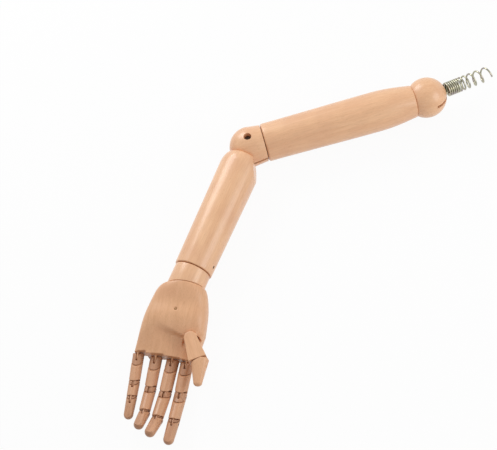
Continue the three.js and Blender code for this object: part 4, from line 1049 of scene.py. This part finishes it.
thumb_axis = joint_axis("thumb_root_turn")
to_tip = joint_at("thumb_tip_bend") - joint_at("thumb_root_turn")
pin_turn = math.asin(THUMB_TIP_PIN_SIDE * MM / to_tip.length)
thumb_along = Matrix.Rotation(-pin_turn, 3, thumb_axis) @ to_tip
thumb_reach = to_tip.length * math.cos(pin_turn) / MM - PIN_REACH
thumb_spread = math.asin((THUMB_CAP_RADIUS - THUMB_END_HALF_WIDTH) / thumb_reach)
thumb_root = rod(THUMB_CAP_RADIUS, -THUMB_HALF_HEIGHT, THUMB_HALF_HEIGHT, 96)
wedge_end = thumb_reach + THUMB_ROUND
wedge_half = THUMB_END_HALF_WIDTH - THUMB_ROUND * math.tan(thumb_spread)
for vert in thumb_root.verts:
    angle = math.atan2(vert.co.y, vert.co.x)
    if abs(angle) < math.pi / 2 - thumb_spread:
        vert.co.x = wedge_end
        vert.co.y = wedge_half * math.sin(angle) / math.cos(thumb_spread)
thumb_root = sanded(thumb_root, THUMB_ROUNDING_GRIT, THUMB_ROUNDING)
thumb_root = cut(thumb_root, box((thumb_reach, -PAST, -PAST), (WELL_PAST, PAST, PAST)))
slot_half = THUMB_TONGUE_THICKNESS / 2 + PIN_PLAY
slot_end = THUMB_TONGUE_RADIUS + BORE_END_PLAY
thumb_root = cut(thumb_root, box((-PAST, -PAST, -slot_half), (slot_end, PAST, slot_half)))
thumb_pin_top = THUMB_HALF_HEIGHT - THUMB_PIN_COVER
thumb_root = cut(thumb_root, rod(THUMB_PIN_RADIUS + PIN_PLAY, -PAST, thumb_pin_top))
tip_pin = Matrix.Translation((thumb_reach + PIN_REACH, THUMB_TIP_PIN_SIDE, 0))
tip_pin = tip_pin @ Matrix.Rotation(math.pi / 2, 4, "X")
thumb_root = cut(thumb_root, moved(finger_tongue(THUMB_TONGUE_TOP), tip_pin), "UNION")
thumb_root = cut(thumb_root, moved(across_rod(PIN_RADIUS + PIN_PLAY, -PAST, PAST), tip_pin))
thumb_place = seat(joint_at("thumb_root_turn"), thumb_along, thumb_axis)
thumb_root = sanded(thumb_root, THUMB_GRIT, THUMB_ROOT_SANDING)
wooden(thumb_root, "thumb_root", thumb_place, HAND_BEECH, shift=640, gloss=HAND_GLOSS)
pin_place = seat(joint_at("thumb_root_turn"), thumb_axis, thumb_along)
thumb_pin_low = 2 * PIN_SHORTFALL - THUMB_HALF_HEIGHT
root_dowel = dowel(THUMB_PIN_RADIUS, thumb_pin_low, thumb_pin_top - BORE_END_PLAY)
finished(root_dowel, "thumb_root_pin", "dowel", pin_place, pin_steel, "thumb_root")

# Thumb tip: made as a fingertip is, and laid on its side so that it bends across the palm.
# Its section is squared off, and a slope at the hinge leaves room for the bend.
THUMB_TIP_RADII = (8.2, 4.0)
THUMB_TIP_LENGTH = 30.5
THUMB_TIP_BROADNESS = 1.16
THUMB_TIP_SQUARENESS = 3.0
THUMB_TIP_SLOPE = math.radians(26)
THUMB_TIP_SLOPE_START = 2.0
THUMB_TIP_PIN_DEPTH = 7.4
THUMB_TIP_SANDING = 3

tip_along = bent("thumb_tip_bend", thumb_along)
tip_place = hinge_seat("thumb_tip_bend", tip_along)
tip_pin_top = THUMB_TIP_PIN_DEPTH - THUMB_PIN_COVER
thumb_tip = finger_body(*THUMB_TIP_RADII, THUMB_TIP_LENGTH, True)
for vert in thumb_tip.verts:
    out = math.hypot(vert.co.y, vert.co.z)
    if out > 0.01:
        vert.co.y = out * spread(vert.co.y / out, (-1, 1), THUMB_TIP_SQUARENESS)
        vert.co.z = out * spread(vert.co.z / out, (-1, 1), THUMB_TIP_SQUARENESS) * THUMB_TIP_BROADNESS
thumb_tip = moved(thumb_tip, Matrix.Translation((0, 0, THUMB_TIP_PIN_SIDE)))
slope = Matrix.Translation((HINGE_GAP - PIN_REACH, 0, THUMB_TIP_SLOPE_START))
slope = slope @ Matrix.Rotation(THUMB_TIP_SLOPE - math.pi / 2, 4, "Y")
slope = moved(box((0, -PAST, 0), (PAST, PAST, PAST)), slope)
thumb_tip = cut(hinge_cut(thumb_tip, tip_pin_top), slope)
thumb_tip = sanded(thumb_tip, THUMB_GRIT, THUMB_TIP_SANDING)
wooden(thumb_tip, "thumb_tip", tip_place, HAND_BEECH, shift=700, gloss=HAND_GLOSS)
pin_place = seat(joint_at("thumb_tip_bend"), joint_axis("thumb_tip_bend"), tip_along)
tip_dowel = dowel(PIN_RADIUS, BORE_END_PLAY - tip_pin_top, THUMB_TIP_PIN_DEPTH - PIN_SHORTFALL)
finished(tip_dowel, "thumb_tip_pin", "dowel", pin_place, pin_steel, "thumb_tip")

# Camera: above the arm and in front of it, rolled so that the upper arm rises to the right.
# The elbow lies to the upper left of the picture's middle.
IMAGE_WIDTH = 497
FOCAL_LENGTH = 980
CAMERA_ELEVATION = math.radians(62)
CAMERA_ROLL = math.radians(15.6)
CAMERA_DISTANCE = 1.1264
ELBOW_FROM_AIM = Vector((0.0261, 0.0863, 0.024))

aim = joint_at("elbow_flex") - ELBOW_FROM_AIM
back = Vector((0, -math.cos(CAMERA_ELEVATION), math.sin(CAMERA_ELEVATION)))
level_up = Vector((0, math.sin(CAMERA_ELEVATION), math.cos(CAMERA_ELEVATION)))
level_right = Vector((1, 0, 0))
right = level_right * math.cos(CAMERA_ROLL) - level_up * math.sin(CAMERA_ROLL)
up = level_right * math.sin(CAMERA_ROLL) + level_up * math.cos(CAMERA_ROLL)
view = bpy.data.cameras.new("camera")
view.sensor_width = 36
view.lens = view.sensor_width * FOCAL_LENGTH / IMAGE_WIDTH
camera = bpy.data.objects.new("camera", view)
camera.matrix_world = Matrix.Translation(aim + back * CAMERA_DISTANCE) @ Matrix(
    (right, up, back)).transposed().to_4x4()
bpy.context.scene.collection.objects.link(camera)
bpy.context.scene.camera = camera

# Floor: a sheet of white studio paper. The camera and mirror-like surfaces see it nearly white,
# and it keeps a soft trace of the arm's shadow.
FLOOR_SIZE = 6.0
FLOOR_GAP = 0.0005
PAPER_WHITE = 0.94


def light_path_share(tree, most):
    """A share that is given to what the camera, mirrors and glass see, and to nothing else."""
    path = add_node(tree, "LightPath")
    seen = add_node(tree, "Math", {
        0: path.outputs["Is Camera Ray"], 1: path.outputs["Is Glossy Ray"]}, operation="ADD")
    seen = add_node(tree, "Math", {
        0: seen.outputs[0], 1: path.outputs["Is Transmission Ray"]}, operation="ADD", use_clamp=True)
    return add_node(tree, "Math", {0: seen.outputs[0], 1: most}, operation="MULTIPLY").outputs[0]


paper, tree = new_material("white_studio_paper")
matt = add_node(tree, "BsdfDiffuse", {"Color": (0.86, 0.86, 0.86, 1)})
glow = add_node(tree, "Emission", {"Color": (1, 1, 1, 1), "Strength": 1.0})
seen = add_node(tree, "MixShader", {
    0: light_path_share(tree, PAPER_WHITE), 1: matt.outputs[0], 2: glow.outputs[0]})
add_node(tree, "OutputMaterial", {"Surface": seen.outputs[0]})
sheet = bmesh.new()
bmesh.ops.create_grid(sheet, x_segments=8, y_segments=8, size=FLOOR_SIZE / 2,
                      matrix=Matrix.Translation((0, 0, cad_box[0].z - FLOOR_GAP)))
floor = as_object(sheet, "studio_floor")
floor.data.materials.append(paper)

# Light: an even white room, one large soft box at the camera's right and one at its upper left.
# The camera and mirror-like surfaces see the room white, and it lights the arm at a plain level.
ROOM_LIGHT = 0.5
SOFT_BOXES = {
    "right_soft_box": ((0.78, 0.12, 0.6), 5.0),
    "left_soft_box": ((-0.5, 0.84, 0.12), 8.0),
}
SOFT_BOX_SIZE = 0.7
SOFT_BOX_DISTANCE = 1.3

world = bpy.data.worlds.new("white_room")
bpy.context.scene.world = world
world.use_nodes = True
tree = world.node_tree
tree.nodes.clear()
room = add_node(tree, "Background", {"Color": (1, 1, 1, 1), "Strength": ROOM_LIGHT})
white = add_node(tree, "Background", {"Color": (1, 1, 1, 1), "Strength": 1.0})
shown = add_node(tree, "MixShader", {
    0: light_path_share(tree, 1.0), 1: room.outputs[0], 2: white.outputs[0]})
add_node(tree, "OutputWorld", {"Surface": shown.outputs[0]})
for name, (direction, watts) in SOFT_BOXES.items():
    lamp = bpy.data.lights.new(name, "AREA")
    lamp.energy = watts
    lamp.size = SOFT_BOX_SIZE
    soft_box = bpy.data.objects.new(name, lamp)
    towards = (right * direction[0] + up * direction[1] + back * direction[2]).normalized()
    facing = towards.to_track_quat("Z", "Y").to_matrix().to_4x4()
    soft_box.matrix_world = Matrix.Translation(aim + towards * SOFT_BOX_DISTANCE) @ facing
    bpy.context.scene.collection.objects.link(soft_box)

bpy.context.scene.view_settings.view_transform = "Standard"
